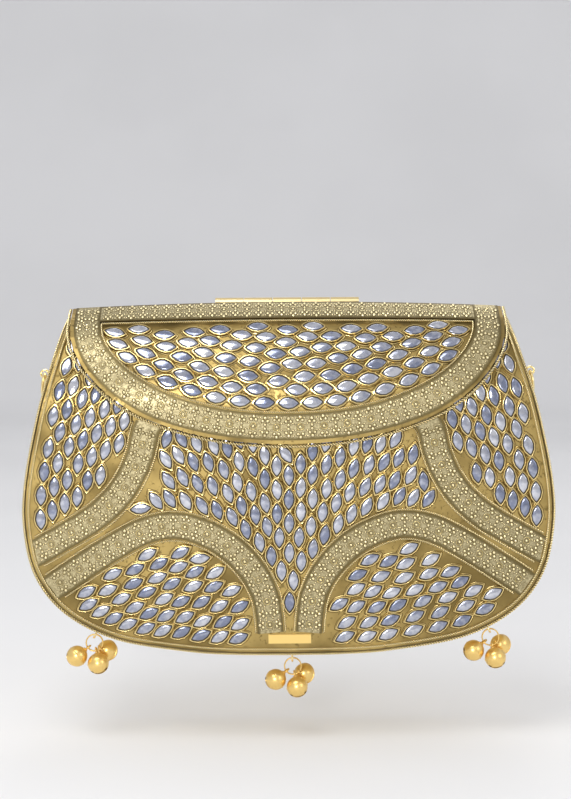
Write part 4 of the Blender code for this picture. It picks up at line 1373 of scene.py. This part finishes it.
@dataclass
class Front:
    """The front panel's stones, strips and ropes."""

    strip_width: float = 0.0105
    strip_thickness: float = 0.0005
    edge_rope: float = 0.0006
    inner_rope: float = 0.0005
    inner_inset: float = 0.0029
    strip_rope: float = 0.00045
    strip_pitch: float = 0.0017
    plate_top: float = 0.0088
    more_stones: tuple[Triple, ...] = (
        (-81.6, 26.8, 28), (-57.0, 41.8, 29), (-36.0, 40.0, 7), (-59.4, 60.4, 6), (54.0, 70.6, 96),
        (-1.2, 82.0, 122), (49.8, 81.4, 78), (-48.6, 88.6, 72), (-8.4, 89.8, 94), (9.0, 91.0, 58),
        (-65.4, 95.8, 78), (65.4, 95.8, 102),
    )
    arch_shape: tuple[Point, ...] = (
        (0.072, 0.069), (0.078, 0.120), (0.092, 0.180), (0.133, 0.244), (0.201, 0.304),
        (0.290, 0.352), (0.411, 0.383), (0.533, 0.371), (0.664, 0.320), (0.794, 0.256), (0.960, 0.170),
    )
    shoulder_shape: tuple[Point, ...] = (
        (0.505, 0.700), (0.533, 0.660), (0.556, 0.590), (0.594, 0.522), (0.650, 0.462),
        (0.730, 0.408), (0.830, 0.360), (0.990, 0.290),
    )

    def centre_line(self, shape: tuple[Point, ...]) -> list[Vector]:
        """A strip's centre line on the right half, in sheet space."""
        points = [(u * FORM.half_width, FORM.bent(v * FORM.height)) for u, v in shape]
        return FORM.curve_through(points, 16)

    def rope_cut(self, line: list[Vector], inset: float) -> tuple[Vector, Vector]:
        """Where a line leaves the area inside the inner rope.

        Args:
            line: The line, from inside to outside.
            inset: How far inside the edge it is cut.

        Returns:
            A point of the cut and its outward direction.
        """
        rim = FORM.half_outline(inset)
        for a, b in zip(line, line[1:]):
            for c, d in zip(rim, rim[1:]):
                across = d - c
                near, far = across.cross(a - c), across.cross(b - c)
                spot = a.lerp(b, near / (near - far)) if near != far else b
                if near >= 0 > far and -0.01 <= (spot - c).dot(across) / across.length_squared <= 1.01:
                    return spot, Vector((across.y, -across.x)).normalized()
        return line[-1], (line[-1] - line[-2]).normalized()

    def build_strips(self) -> None:
        """The arch and shoulder strips of both halves, each with a wire along both sides."""
        embossing = Embossing()
        strip = EmbossedStrip(self.strip_width, self.strip_thickness, FORM.gap, embossing)
        wire = TwistedWire(self.strip_rope, self.strip_pitch)
        beside = self.strip_width / 2 + FORM.gap + self.strip_rope
        for word, shape, start in (
            ("arch", self.arch_shape, (Vector((0.0, self.plate_top + FORM.gap)), Vector((0.0, -1.0)))),
            ("shoulder", self.shoulder_shape, (Vector((0.0, FORM.sill)), Vector((0.0, 1.0)))),
        ):
            line = self.centre_line(shape)
            end = self.rope_cut(line, self.inner_inset + self.inner_rope + FORM.gap)
            for side in Side:
                name = f"{word}_strip_{side.word}"
                made = strip.build(f"{name}_embossed", line, [start, end], side is Side.LEFT)
                settle(made, "bag", "pale_brass", name)
                for place, distance in (("outer", beside), ("inner", -beside)):
                    route = self.within(FORM.beside(line, distance), start)
                    route = [Vector((point.x * side.value, point.y)) for point in route]
                    node = f"{word}_wire_{place}_{side.word}"
                    twisted = wire.lay(f"{node}_twisted", route, FORM.gap + self.strip_rope, FORM.on_front)
                    dress(twisted, WIRE_GOLD)
                    settle(twisted, "bag", "brass", node)
        Bench.drop(*embossing.masters.values())

    def within(self, line: list[Vector], start: tuple[Vector, Vector]) -> list[Vector]:
        """The stretch of a line between its first cut and the inner rope.

        Args:
            line: The line, from inside to outside.
            start: A point of its first cut and its outward direction.

        Returns:
            The points that are kept.
        """
        point, outward = start
        limit = FORM.half_outline(self.inner_inset + self.inner_rope)
        kept = []
        for spot in line:
            if (spot - point).dot(outward) > 0:
                continue
            if any(low.y <= spot.y <= high.y and spot.x > low.x for low, high in zip(limit, limit[1:])):
                continue
            kept.append(spot)
        return kept

    def build_ropes(self) -> None:
        """The twisted ropes round the front and the back."""
        above = FORM.gap + self.inner_rope
        for node, inset, radius, level, bend in (
            ("front_edge_rope", self.edge_rope, self.edge_rope, -FORM.sheet / 2, FORM.on_front),
            ("front_inner_rope", self.inner_inset, self.inner_rope, above, FORM.on_front),
            ("back_edge_rope", self.edge_rope, self.edge_rope, FORM.sheet / 2, FORM.on_back),
        ):
            route = FORM.whole(FORM.half_outline(inset))
            made = TwistedWire.rope(radius).lay(f"{node}_twisted", route, level, bend)
            dress(made, WIRE_GOLD)
            settle(made, "bag", "brass", node)

    def build(self) -> None:
        """Dresses the front."""
        Stones().build("front_panel", 0.0, "bag", self.more_stones)
        self.build_strips()
        self.build_ropes()


@dataclass
class Flap:
    """The flap's stones, band and ropes."""

    band_inset: float = 0.0016
    band_width: float = 0.0105
    band_seat: float = 0.0004
    band_thickness: float = 0.0005
    edge_rope: float = 0.00065
    inner_rope: float = 0.00045
    inner_pitch: float = 0.0017

    def build(self) -> None:
        """Dresses the flap."""
        Stones(seed=19).build("flap_shell", FORM.flap_outer, "flap")
        self.build_band()
        self.build_ropes()

    def build_band(self) -> None:
        """The embossed band round the flap, and the stretch along its top."""
        embossing = Embossing()
        low = FORM.flap_outer + self.band_seat
        strip = EmbossedStrip(self.band_width, self.band_thickness, low, embossing)
        side = self.band_inset
        curved = FORM.whole(FORM.flap_edge(side + self.band_width / 2, side))
        half = FORM.flap_half_width - side - self.band_width
        level = FORM.top_line - side - self.band_width / 2
        straight = [Vector((half * share / 10, level)) for share in range(-10, 11)]
        made = Bench.join("flap_band_embossed", [
            strip.build("flap_band_round", curved, []), strip.build("flap_band_top", straight, []),
        ])
        settle(made, "flap", "pale_brass", "flap_band")
        Bench.drop(*embossing.masters.values())

    def build_ropes(self) -> None:
        """The twisted ropes at the flap's edge and inside its band."""
        rim = FORM.whole(FORM.flap_edge(-self.edge_rope - FORM.gap, 0.0))
        level = (FORM.flap_lift + FORM.flap_outer) / 2
        wire = TwistedWire.rope(self.edge_rope)
        edge = wire.lay("flap_edge_rope_twisted", rim, level, FORM.on_front)
        inset = self.band_inset + self.band_width + FORM.gap + self.inner_rope
        inner_edge = FORM.flap_edge(inset, inset)
        top = [Vector((inner_edge[-1].x * share / 12, inner_edge[-1].y)) for share in range(11, -12, -1)]
        loop = FORM.whole(inner_edge) + top
        low = FORM.flap_outer + self.band_seat + self.inner_rope
        wire = TwistedWire(self.inner_rope, self.inner_pitch)
        inner = wire.lay("flap_inner_rope_twisted", loop, low, FORM.on_front, closed=True)
        for made, node in ((edge, "flap_edge_rope"), (inner, "flap_inner_rope")):
            dress(made, WIRE_GOLD)
            settle(made, "flap", "brass", node)


@dataclass
class Hooks:
    """Lugs, chain rings and split rings."""

    foot_radius: float = 0.0019
    foot: float = 0.0006
    loop_radius: float = 0.0016
    loop_wire: float = 0.00045
    chain_radius: float = 0.0042
    chain_wire: float = 0.0006
    chain_lean: float = math.radians(6.5)
    split_radius: float = 0.0034
    split_wire: float = 0.00026
    split_pitch: float = 0.00054

    def lug(self, name: str, node: str, hook: Vector, from_foot: float, across: Vector) -> None:
        """One lug: a round foot with a wire loop.

        Args:
            name: The piece's name.
            node: The CAD node that it stands for.
            hook: The joint in the loop.
            from_foot: How far the joint lies from the side of the foot that touches the bag.
            across: The direction of the loop's axis, or near it.
        """
        out = (hook - middle_of(node)).normalized()
        side = (across - out * across.dot(out)).normalized()
        turn = Matrix((side, out.cross(side), out)).transposed().to_4x4()
        Bench.clear()
        bpy.ops.mesh.primitive_cylinder_add(
            vertices=20, radius=self.foot_radius, depth=self.foot, location=(0.0, 0.0, self.foot / 2),
        )
        foot = Bench.named(name)
        Bench.modify(foot, "BEVEL", width=self.foot * 0.3, segments=2, limit_method="ANGLE")
        Bench.clear()
        bpy.ops.mesh.primitive_torus_add(
            major_radius=self.loop_radius, minor_radius=self.loop_wire, major_segments=24,
            minor_segments=8, location=(0.0, 0.0, self.foot + self.loop_radius),
            rotation=(0.0, math.pi / 2, 0.0),
        )
        loop = Bench.named("loop")
        made = Bench.join(name, [foot, loop])
        made.data.transform(Matrix.Translation(hook - out * from_foot) @ turn)
        # Painted shade: the foot darkens towards the side that touches the bag.
        Bench.mark(made, lambda co: 1.0 - (co - hook + out * from_foot).dot(out) / self.foot)
        Bench.smooth(made, 40.0)
        dress(made, WIRE_GOLD)
        settle(made, "bag", "brass", node)

    def chain_ring(self, side: Side) -> None:
        """The ring that a chain would hook into.

        Args:
            side: The side that it is on.
        """
        node = f"chain_ring_{side.word}"
        Bench.clear()
        bpy.ops.mesh.primitive_torus_add(
            major_radius=self.chain_radius, minor_radius=self.chain_wire, major_segments=40,
            minor_segments=10, location=box_middle(node),
            rotation=(0.0, math.pi / 2 - side.value * self.chain_lean, 0.0),
        )
        made = Bench.named(f"{node}_wire")
        Bench.smooth(made)
        dress(made, WIRE_GOLD)
        settle(made, f"{side.word}_chain_ring", "brass", node)

    def split_ring(self, word: str) -> None:
        """A split ring: two turns of thin wire beside each other.

        Args:
            word: The bunch that hangs from it.
        """
        node = f"bell_ring_{word}"
        Bench.clear()
        bpy.ops.mesh.primitive_circle_add(
            vertices=8, radius=self.split_wire, location=(self.split_radius, 0.0, -self.split_pitch),
            rotation=(math.pi / 2, 0.0, 0.0),
        )
        made = Bench.named(f"{node}_coil")
        Bench.modify(
            made, "SCREW", axis="Z", angle=math.tau * 2, screw_offset=self.split_pitch * 2, steps=64,
            render_steps=64, use_normal_calculate=True, use_smooth_shade=True,
        )
        Bench.cap(made)
        made.data.transform(Matrix.Translation(box_middle(node)) @ Matrix.Rotation(math.pi / 2, 4, "X"))
        Bench.smooth(made, 60.0)
        dress(made, BELL_GOLD)
        settle(made, f"{word}_bell_ring", "bell_gold", node)

    def build(self) -> None:
        """All lugs and rings."""
        for side in Side:
            hook, _axis = joint_of(f"{side.word}_chain_ring")
            name = f"chain_lug_{side.word}"
            self.lug(f"{name}_loop", name, hook, self.foot + self.loop_radius, Vector((0.0, 1.0, 0.0)))
            self.chain_ring(side)
        for word in BUNCHES:
            hook, _axis = joint_of(f"{word}_bell_ring")
            name = f"bell_lug_{word}"
            self.lug(f"{name}_loop", name, hook, self.foot + self.loop_radius * 2, Vector((1.0, 0.0, 0.0)))
            self.split_ring(word)


@dataclass
class Bells:
    """Round bells with a seam, a slit with a round hole at both its ends, and an eye."""

    radius: float = 0.0043
    wall: float = 0.0005
    slit: float = 0.0010
    slit_reach: float = 0.6
    hole: float = 0.0009
    eye_radius: float = 0.0013
    eye_wire: float = 0.00035
    seam: float = 0.00016
    eye_sink: float = 0.7
    pellet: float = 0.0012

    def cutters(self, low: float) -> list[bpy.types.Object]:
        """The shapes that cut the slit and its two holes.

        Args:
            low: The level of the bell's lowest point.

        Returns:
            The cutters.
        """
        reach = self.radius * self.slit_reach
        level = low + self.radius * 0.3
        Bench.clear()
        bpy.ops.mesh.primitive_cube_add(size=1.0, location=(0.0, 0.0, level))
        bpy.context.object.scale = (reach * 2, self.slit, self.radius)
        made = [Bench.named("slit")]
        for side in (-1, 1):
            Bench.clear()
            bpy.ops.mesh.primitive_cylinder_add(
                vertices=16, radius=self.hole, depth=self.radius, location=(side * reach, 0.0, level),
            )
            made.append(Bench.named("hole"))
        return made

    def master(self) -> bpy.types.Object:
        """The bell that is copied, hanging down from its eye at the origin.

        Returns:
            The bell.
        """
        drop = self.radius + self.eye_radius + self.eye_wire - self.wall * self.eye_sink
        Bench.clear()
        bpy.ops.mesh.primitive_uv_sphere_add(
            segments=28, ring_count=16, radius=self.radius, location=(0.0, 0.0, -drop),
        )
        shell = Bench.named("bell")
        Bench.modify(shell, "SOLIDIFY", thickness=self.wall, offset=-1.0)
        for cutter in self.cutters(-drop - self.radius):
            Bench.modify(shell, "BOOLEAN", object=cutter, operation="DIFFERENCE", solver="EXACT")
            Bench.drop(cutter)
        pieces = [shell]
        for major, minor, level, turn in (
            (self.radius, self.seam, -drop, 0.0),
            (self.eye_radius, self.eye_wire, 0.0, math.pi / 2),
            (self.eye_wire * 2, self.eye_wire, -drop + self.radius, 0.0),
        ):
            Bench.clear()
            bpy.ops.mesh.primitive_torus_add(
                major_radius=major, minor_radius=minor, major_segments=32, minor_segments=8,
                location=(0.0, 0.0, level), rotation=(0.0, turn, 0.0),
            )
            pieces.append(Bench.named("bell_wire"))
        made = Bench.join("bell", pieces)
        middle, inside = Vector((0.0, 0.0, -drop)), self.radius - self.wall / 2
        # Painted shade: the inside of the shell takes the full hollow mark.
        Bench.mark(made, lambda co: float((co - middle).length < inside))
        Bench.smooth(made, 40.0)
        return made

    def build(self) -> None:
        """Hangs three bells with their pellets from each split ring."""
        master = self.master()
        for word in BUNCHES:
            for number in (1, 2, 3):
                node, body = f"bell_{word}_{number}", f"{word}_bell_{number}"
                eye, axis = joint_of(body)
                up = (eye - middle_of(node)).normalized()
                across = up.cross(axis).normalized()
                turn = Matrix((across.cross(up), across, up)).transposed().to_4x4()
                made = Bench.copy(master, f"{node}_shell", Matrix.Translation(eye) @ turn)
                dress(made, BELL_GOLD)
                settle(made, body, "bell_gold", node)
                pellet = f"pellet_{word}_{number}"
                Bench.clear()
                bpy.ops.mesh.primitive_uv_sphere_add(
                    segments=14, ring_count=8, radius=self.pellet, location=box_middle(pellet),
                )
                ball = Bench.named(f"{pellet}_ball")
                Bench.smooth(ball)
                dress(ball, STEEL)
                settle(ball, body, "steel", pellet)
        Bench.drop(master)


@dataclass
class Lining:
    """Brown velvet glued inside the body and the flap."""

    thickness: float = 0.0006
    ripple: float = 0.00010
    ripple_scale: float = 160.0
    side_skin: float = 0.0013
    front_skin: float = 0.0020
    back_skin: float = 0.0006
    base: float = 0.0028
    below_top: float = 0.0032
    flap_inset: float = 0.0136
    mouth_gap: float = 0.0003
    sill_row: float = 0.7
    cut_rows: int = 60
    body_grid: tuple[int, int] = (80, 30)
    flap_grid: tuple[int, int] = (48, 24)
    flap_spread: float = 1.6
    weld: float = 0.00002
    turns: tuple[float, ...] = (0.0, 0.25, 0.3, 0.7, 0.75, 1.0)

    @property
    def flap_low(self) -> float:
        """How far up the flap's sheet its lining starts."""
        return FORM.top_line - FORM.flap_drop + self.flap_inset

    @property
    def flap_tall(self) -> float:
        """How far the flap's lining reaches up the sheet."""
        return FORM.flap_drop - self.flap_inset * 2

    @property
    def flap_level(self) -> float:
        """The level of the middle of the flap's lining in sheet space."""
        return FORM.flap_lift - FORM.gap - self.thickness / 2

    def cloth(
        self, name: str, grid: tuple[int, int], where: Callable[[float, float], Vector],
        hole: Callable[[Vector], bool] | None = None,
    ) -> bpy.types.Object:
        """A cloth on a grid.

        Args:
            name: The piece's name.
            grid: How many steps the grid has across and up.
            where: Gives the row's frame for a share across and a share up.
            hole: Whether a place on the flat grid is cut away.

        Returns:
            The thin cloth, still without its thickness.
        """
        Bench.clear()
        bpy.ops.mesh.primitive_grid_add(
            x_subdivisions=grid[0], y_subdivisions=grid[1], size=1.0, location=(0.5, 0.5, 0.0),
        )
        made = Bench.named(name)
        if hole:
            Bench.pick(made, Part.FACES, hole)
            bpy.ops.mesh.delete(type="FACE")
            Bench.close()
        for vertex in made.data.vertices:
            vertex.co = where(vertex.co.x, vertex.co.y)
        Bench.open_all(made)
        bpy.ops.mesh.remove_doubles(threshold=self.weld)
        bpy.ops.mesh.normals_make_consistent(inside=False)
        Bench.close()
        return made

    def body_cut(self) -> tuple[Point, float]:
        """The size that the body's velvet is cut to, from the bag's own sizes and not from the mesh.

        Returns:
            Its greatest round by its height, and the area of its walls and floor together.
        """
        middle = self.thickness / 2
        sill = FORM.sill + self.mouth_gap
        tall = FORM.top_line - self.below_top - self.base
        rows = []
        for row in range(self.cut_rows + 1):
            up = self.base + tall * row / self.cut_rows
            near = FORM.on_front(Vector((0.0, up, -self.front_skin - middle))) + Vector(FORM.origin)
            depth = FORM.depth_at(near.z) - self.back_skin - middle - near.y
            rows.append((up, FORM.width_at(up, self.side_skin + middle), near.z, depth))
        area = 2 * rows[0][1] * rows[0][3]
        for (up, half, height, depth), (next_up, next_half, next_height, next_depth) in zip(rows, rows[1:]):
            rise = next_height - height
            area += (half + next_half) * rise + (depth + next_depth) * math.hypot(rise, next_half - half)
            if next_up <= sill:
                area += (half + next_half) * (next_up - up)
        widest = max(4 * half + 2 * depth for _up, half, _height, depth in rows)
        return (widest, tall), area

    def flap_cut(self) -> tuple[Point, float]:
        """The size that the flap's velvet is cut to, worked out in the same way.

        Returns:
            Its width by its height, and its area.
        """
        tall = self.flap_tall * (1 + self.flap_level / FORM.bend_radius)
        halves = [
            FORM.flap_half(self.flap_low + self.flap_tall * (row + 0.5) / self.cut_rows, self.flap_inset)
            for row in range(self.cut_rows)
        ]
        return (2 * max(halves), tall), 2 * sum(halves) / self.cut_rows * tall

    def finish(
        self, item: bpy.types.Object, body: str, node: str, cut: tuple[Point, float], lies_on: list[str]
    ) -> None:
        """Args:
            item: The thin cloth.
            body: The body that it rides on.
            node: The CAD node that it stands for.
            cut: Not used.
            lies_on: Not used.
        """
        for vertex in item.data.vertices:
            vertex.co += vertex.normal * self.ripple * noise.noise(vertex.co * self.ripple_scale)
        Bench.modify(item, "SOLIDIFY", thickness=self.thickness, offset=0.0)
        Bench.outward(item)
        Bench.smooth(item, 50.0)
        dress(item, VELVET)
        settle(item, body, "velvet", node)

    def body_wall(self, across: float, up: float) -> Vector:
        """The body's lining: a ring round the inside at each height.

        Args:
            across: 0 at the middle of the back and on round the inside to 1.
            up: 0 at the bottom and 1 at the top.

        Returns:
            The point in the row's frame.
        """
        middle = self.thickness / 2
        sill = FORM.sill + self.mouth_gap
        top = FORM.top_line - self.below_top
        if up <= self.sill_row:
            height = self.base + (sill - self.base) * (up / self.sill_row)
        else:
            height = sill + (top - sill) * ((up - self.sill_row) / (1 - self.sill_row))
        half = FORM.width_at(height, self.side_skin + middle)
        near = FORM.on_front(Vector((half, height, -self.front_skin - middle)))
        level = near.z + FORM.origin[2]
        far = FORM.depth_at(level) - self.back_skin - middle - FORM.origin[1]
        corners = ((0.0, far), (half, far), (half, near.y), (-half, near.y), (-half, far), (0.0, far))
        for start, end, (x0, y0), (x1, y1) in zip(self.turns, self.turns[1:], corners, corners[1:]):
            if across <= end + 1e-6:
                part = (across - start) / (end - start)
                return Vector((x0 + (x1 - x0) * part, y0 + (y1 - y0) * part, near.z))
        return Vector((0.0, far, near.z))

    def body_lining(self) -> None:
        """The lining of the body, open at the mouth."""
        made = self.cloth(
            "body_lining_velvet", self.body_grid, self.body_wall,
            lambda spot: spot.y > self.sill_row and self.turns[2] < spot.x < self.turns[3],
        )
        Bench.pick(made, Part.VERTS, lambda co: co.z < self.base + self.thickness - FORM.origin[2])
        bpy.ops.mesh.edge_face_add()
        Bench.close()
        self.finish(made, "bag", "body_lining", self.body_cut(), ["back_panel", "front_panel", "side_band"])

    def flap_cover(self, across: float, up: float) -> Vector:
        """The flap's lining, row by row between its two edges.

        Args:
            across: 0 at the left edge and 1 at the right one.
            up: 0 at the bottom and 1 at the top.

        Returns:
            The point in the row's frame.
        """
        height = self.flap_low + self.flap_tall * up ** self.flap_spread
        half = FORM.flap_half(height, self.flap_inset)
        return FORM.on_front(Vector((half * (across * 2 - 1), height, self.flap_level)))

    def build(self) -> None:
        """Both linings."""
        self.body_lining()
        made = self.cloth("flap_lining_velvet", self.flap_grid, self.flap_cover)
        self.finish(made, "flap", "flap_lining", self.flap_cut(), ["flap_shell"])


@dataclass
class Catch:
    """The magnetic catch: two flat discs with a rim."""

    radius: float = 0.0055
    thickness: float = 0.0008
    rim: float = 0.0011
    dish: float = 0.00022
    dull: float = 0.6

    def dullness(self, spot: Vector) -> float:
        """How far the sunk face of a disc is darkened towards the patina colour at this point."""
        sunk = 0.0 < spot.z < self.thickness * 0.3 and spot.xy.length < self.radius * 0.8
        return self.dull if sunk else 0.0

    def build(self) -> None:
        """The socket on the front and the stud in the flap."""
        for node, body, turn in (
            ("magnet_socket", "bag", math.pi / 2), ("magnet_stud", "flap", -math.pi / 2),
        ):
            Bench.clear()
            bpy.ops.mesh.primitive_cylinder_add(vertices=40, radius=self.radius, depth=self.thickness)
            made = Bench.named(f"{node}_disc")
            Bench.modify(made, "BEVEL", width=self.thickness * 0.25, segments=2, limit_method="ANGLE")
            Bench.pick(made, Part.FACES, lambda co: co.z > self.thickness * 0.49)
            bpy.ops.mesh.inset(thickness=self.rim, depth=0.0)
            bpy.ops.mesh.inset(thickness=self.dish, depth=-self.dish)
            Bench.close()
            Bench.mark(made, self.dullness)
            made.data.transform(Matrix.Translation(box_middle(node)) @ Matrix.Rotation(turn, 4, "X"))
            Bench.smooth(made, 30.0)
            dress(made, STEEL)
            settle(made, body, "steel", node)


def dress_the_rest() -> None:
    """Gives the CAD nodes that keep their shape their finishes."""
    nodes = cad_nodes()
    for name in ("body_hinge_leaf", "flap_hinge_leaf", "side_band", "back_panel", "hinge_rail"):
        dress(nodes[name], PLAIN_BRASS)
    # The sheets between the stones take the brass that is darkened as painted shade.
    for name in ("front_panel", "flap_shell"):
        dress(nodes[name], SHEET_BRASS_WITH_SHADE)
    dress(nodes["hinge_pin"], STEEL)
    dress(nodes["bottom_plate"], BELL_GOLD)


@dataclass(frozen=True)
class Lamp:
    """One soft area lamp."""

    name: str
    power: float
    size: float
    spot: Triple

    def build(self, target: Triple) -> None:
        """Hangs the lamp so that it looks at the target.

        Args:
            target: The place that it looks at.
        """
        Bench.clear()
        bpy.ops.object.light_add(type="AREA", location=self.spot)
        made = bpy.context.object
        made.name = self.name
        made.data.energy = self.power
        made.data.size = self.size
        away = Vector(target) - Vector(self.spot)
        made.rotation_euler = away.to_track_quat("-Z", "Y").to_euler()


@dataclass
class Studio:
    """Floor, light and camera."""

    floor_level: float = -0.150
    floor_size: Point = (12.0, 8.4)
    floor_middle: float = -1.8
    wall: float = 3.0
    wall_bend: float = 0.9
    elevation: float = 4.2
    azimuth: float = -0.4
    roll: float = -0.38
    distance: float = 0.7
    target: Triple = (-0.0011, -0.0179, -0.0099)
    frame_width: float = 0.2281
    lamps: tuple[Lamp, ...] = (
        Lamp("key", 2.2, 0.20, (-0.16, -0.86, 0.14)), Lamp("top", 3.0, 0.5, (-0.25, -0.45, 0.70)),
        Lamp("fill", 1.2, 0.5, (0.8, -0.6, 0.35)), Lamp("rim", 1.5, 0.5, (0.1, 0.7, 0.8)),
    )
    sky: Colour = (0.97, 0.97, 1.0)
    sky_strength: float = 0.75

    def floor(self) -> None:
        """A pale floor that curves up behind the bag."""
        Bench.clear()
        bpy.ops.mesh.primitive_plane_add(size=1.0, location=(0.0, self.floor_middle, self.floor_level))
        bpy.context.object.scale = (*self.floor_size, 1.0)
        made = Bench.named("floor")
        Bench.pick(made, Part.VERTS, lambda co: co.y > 0)
        bpy.ops.mesh.extrude_region_move(TRANSFORM_OT_translate={"value": (0.0, 0.0, self.wall)})
        Bench.close()
        Bench.pick(made, Part.VERTS, lambda co: co.y > 0 and co.z < self.floor_level + self.wall / 2)
        bpy.ops.mesh.bevel(offset=self.wall_bend, segments=12, affect="EDGES")
        Bench.close()
        Bench.smooth(made, 60.0)
        dress(made, FloorFinish())

    def camera(self) -> None:
        """The camera at the photograph's angle."""
        up, round_angle = math.radians(self.elevation), math.radians(self.azimuth)
        away = Vector((
            math.sin(round_angle) * math.cos(up), -math.cos(round_angle) * math.cos(up), math.sin(up),
        )) * self.distance
        Bench.clear()
        bpy.ops.object.camera_add(location=Vector(self.target) + away)
        made = bpy.context.object
        made.name = "camera"
        aim = (-away).to_track_quat("-Z", "Y").to_matrix()
        made.rotation_euler = (aim @ Matrix.Rotation(math.radians(self.roll), 3, "Z")).to_euler()
        made.data.sensor_fit = "HORIZONTAL"
        made.data.lens = made.data.sensor_width * self.distance / self.frame_width
        bpy.context.scene.camera = made

    def world(self) -> None:
        """An even, nearly white sky."""
        made = bpy.data.worlds.new("studio")
        bpy.context.scene.world = made
        made.use_nodes = True
        back = made.node_tree.nodes["Background"]
        back.inputs["Color"].default_value = (*self.sky, 1.0)
        back.inputs["Strength"].default_value = self.sky_strength

    def build(self) -> None:
        """Sets up the studio."""
        self.floor()
        self.camera()
        for lamp in self.lamps:
            lamp.build(self.target)
        self.world()
        bpy.context.scene.view_settings.view_transform = "Standard"


def main() -> None:
    logging.basicConfig(level=logging.INFO, format="%(message)s")
    Bench.drop(*bpy.data.objects)
    FRAME.update(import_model())
    Front().build()
    Flap().build()
    Hooks().build()
    Bells().build()
    Lining().build()
    Catch().build()
    dress_the_rest()
    Studio().build()


if __name__ == "__main__":
    main()
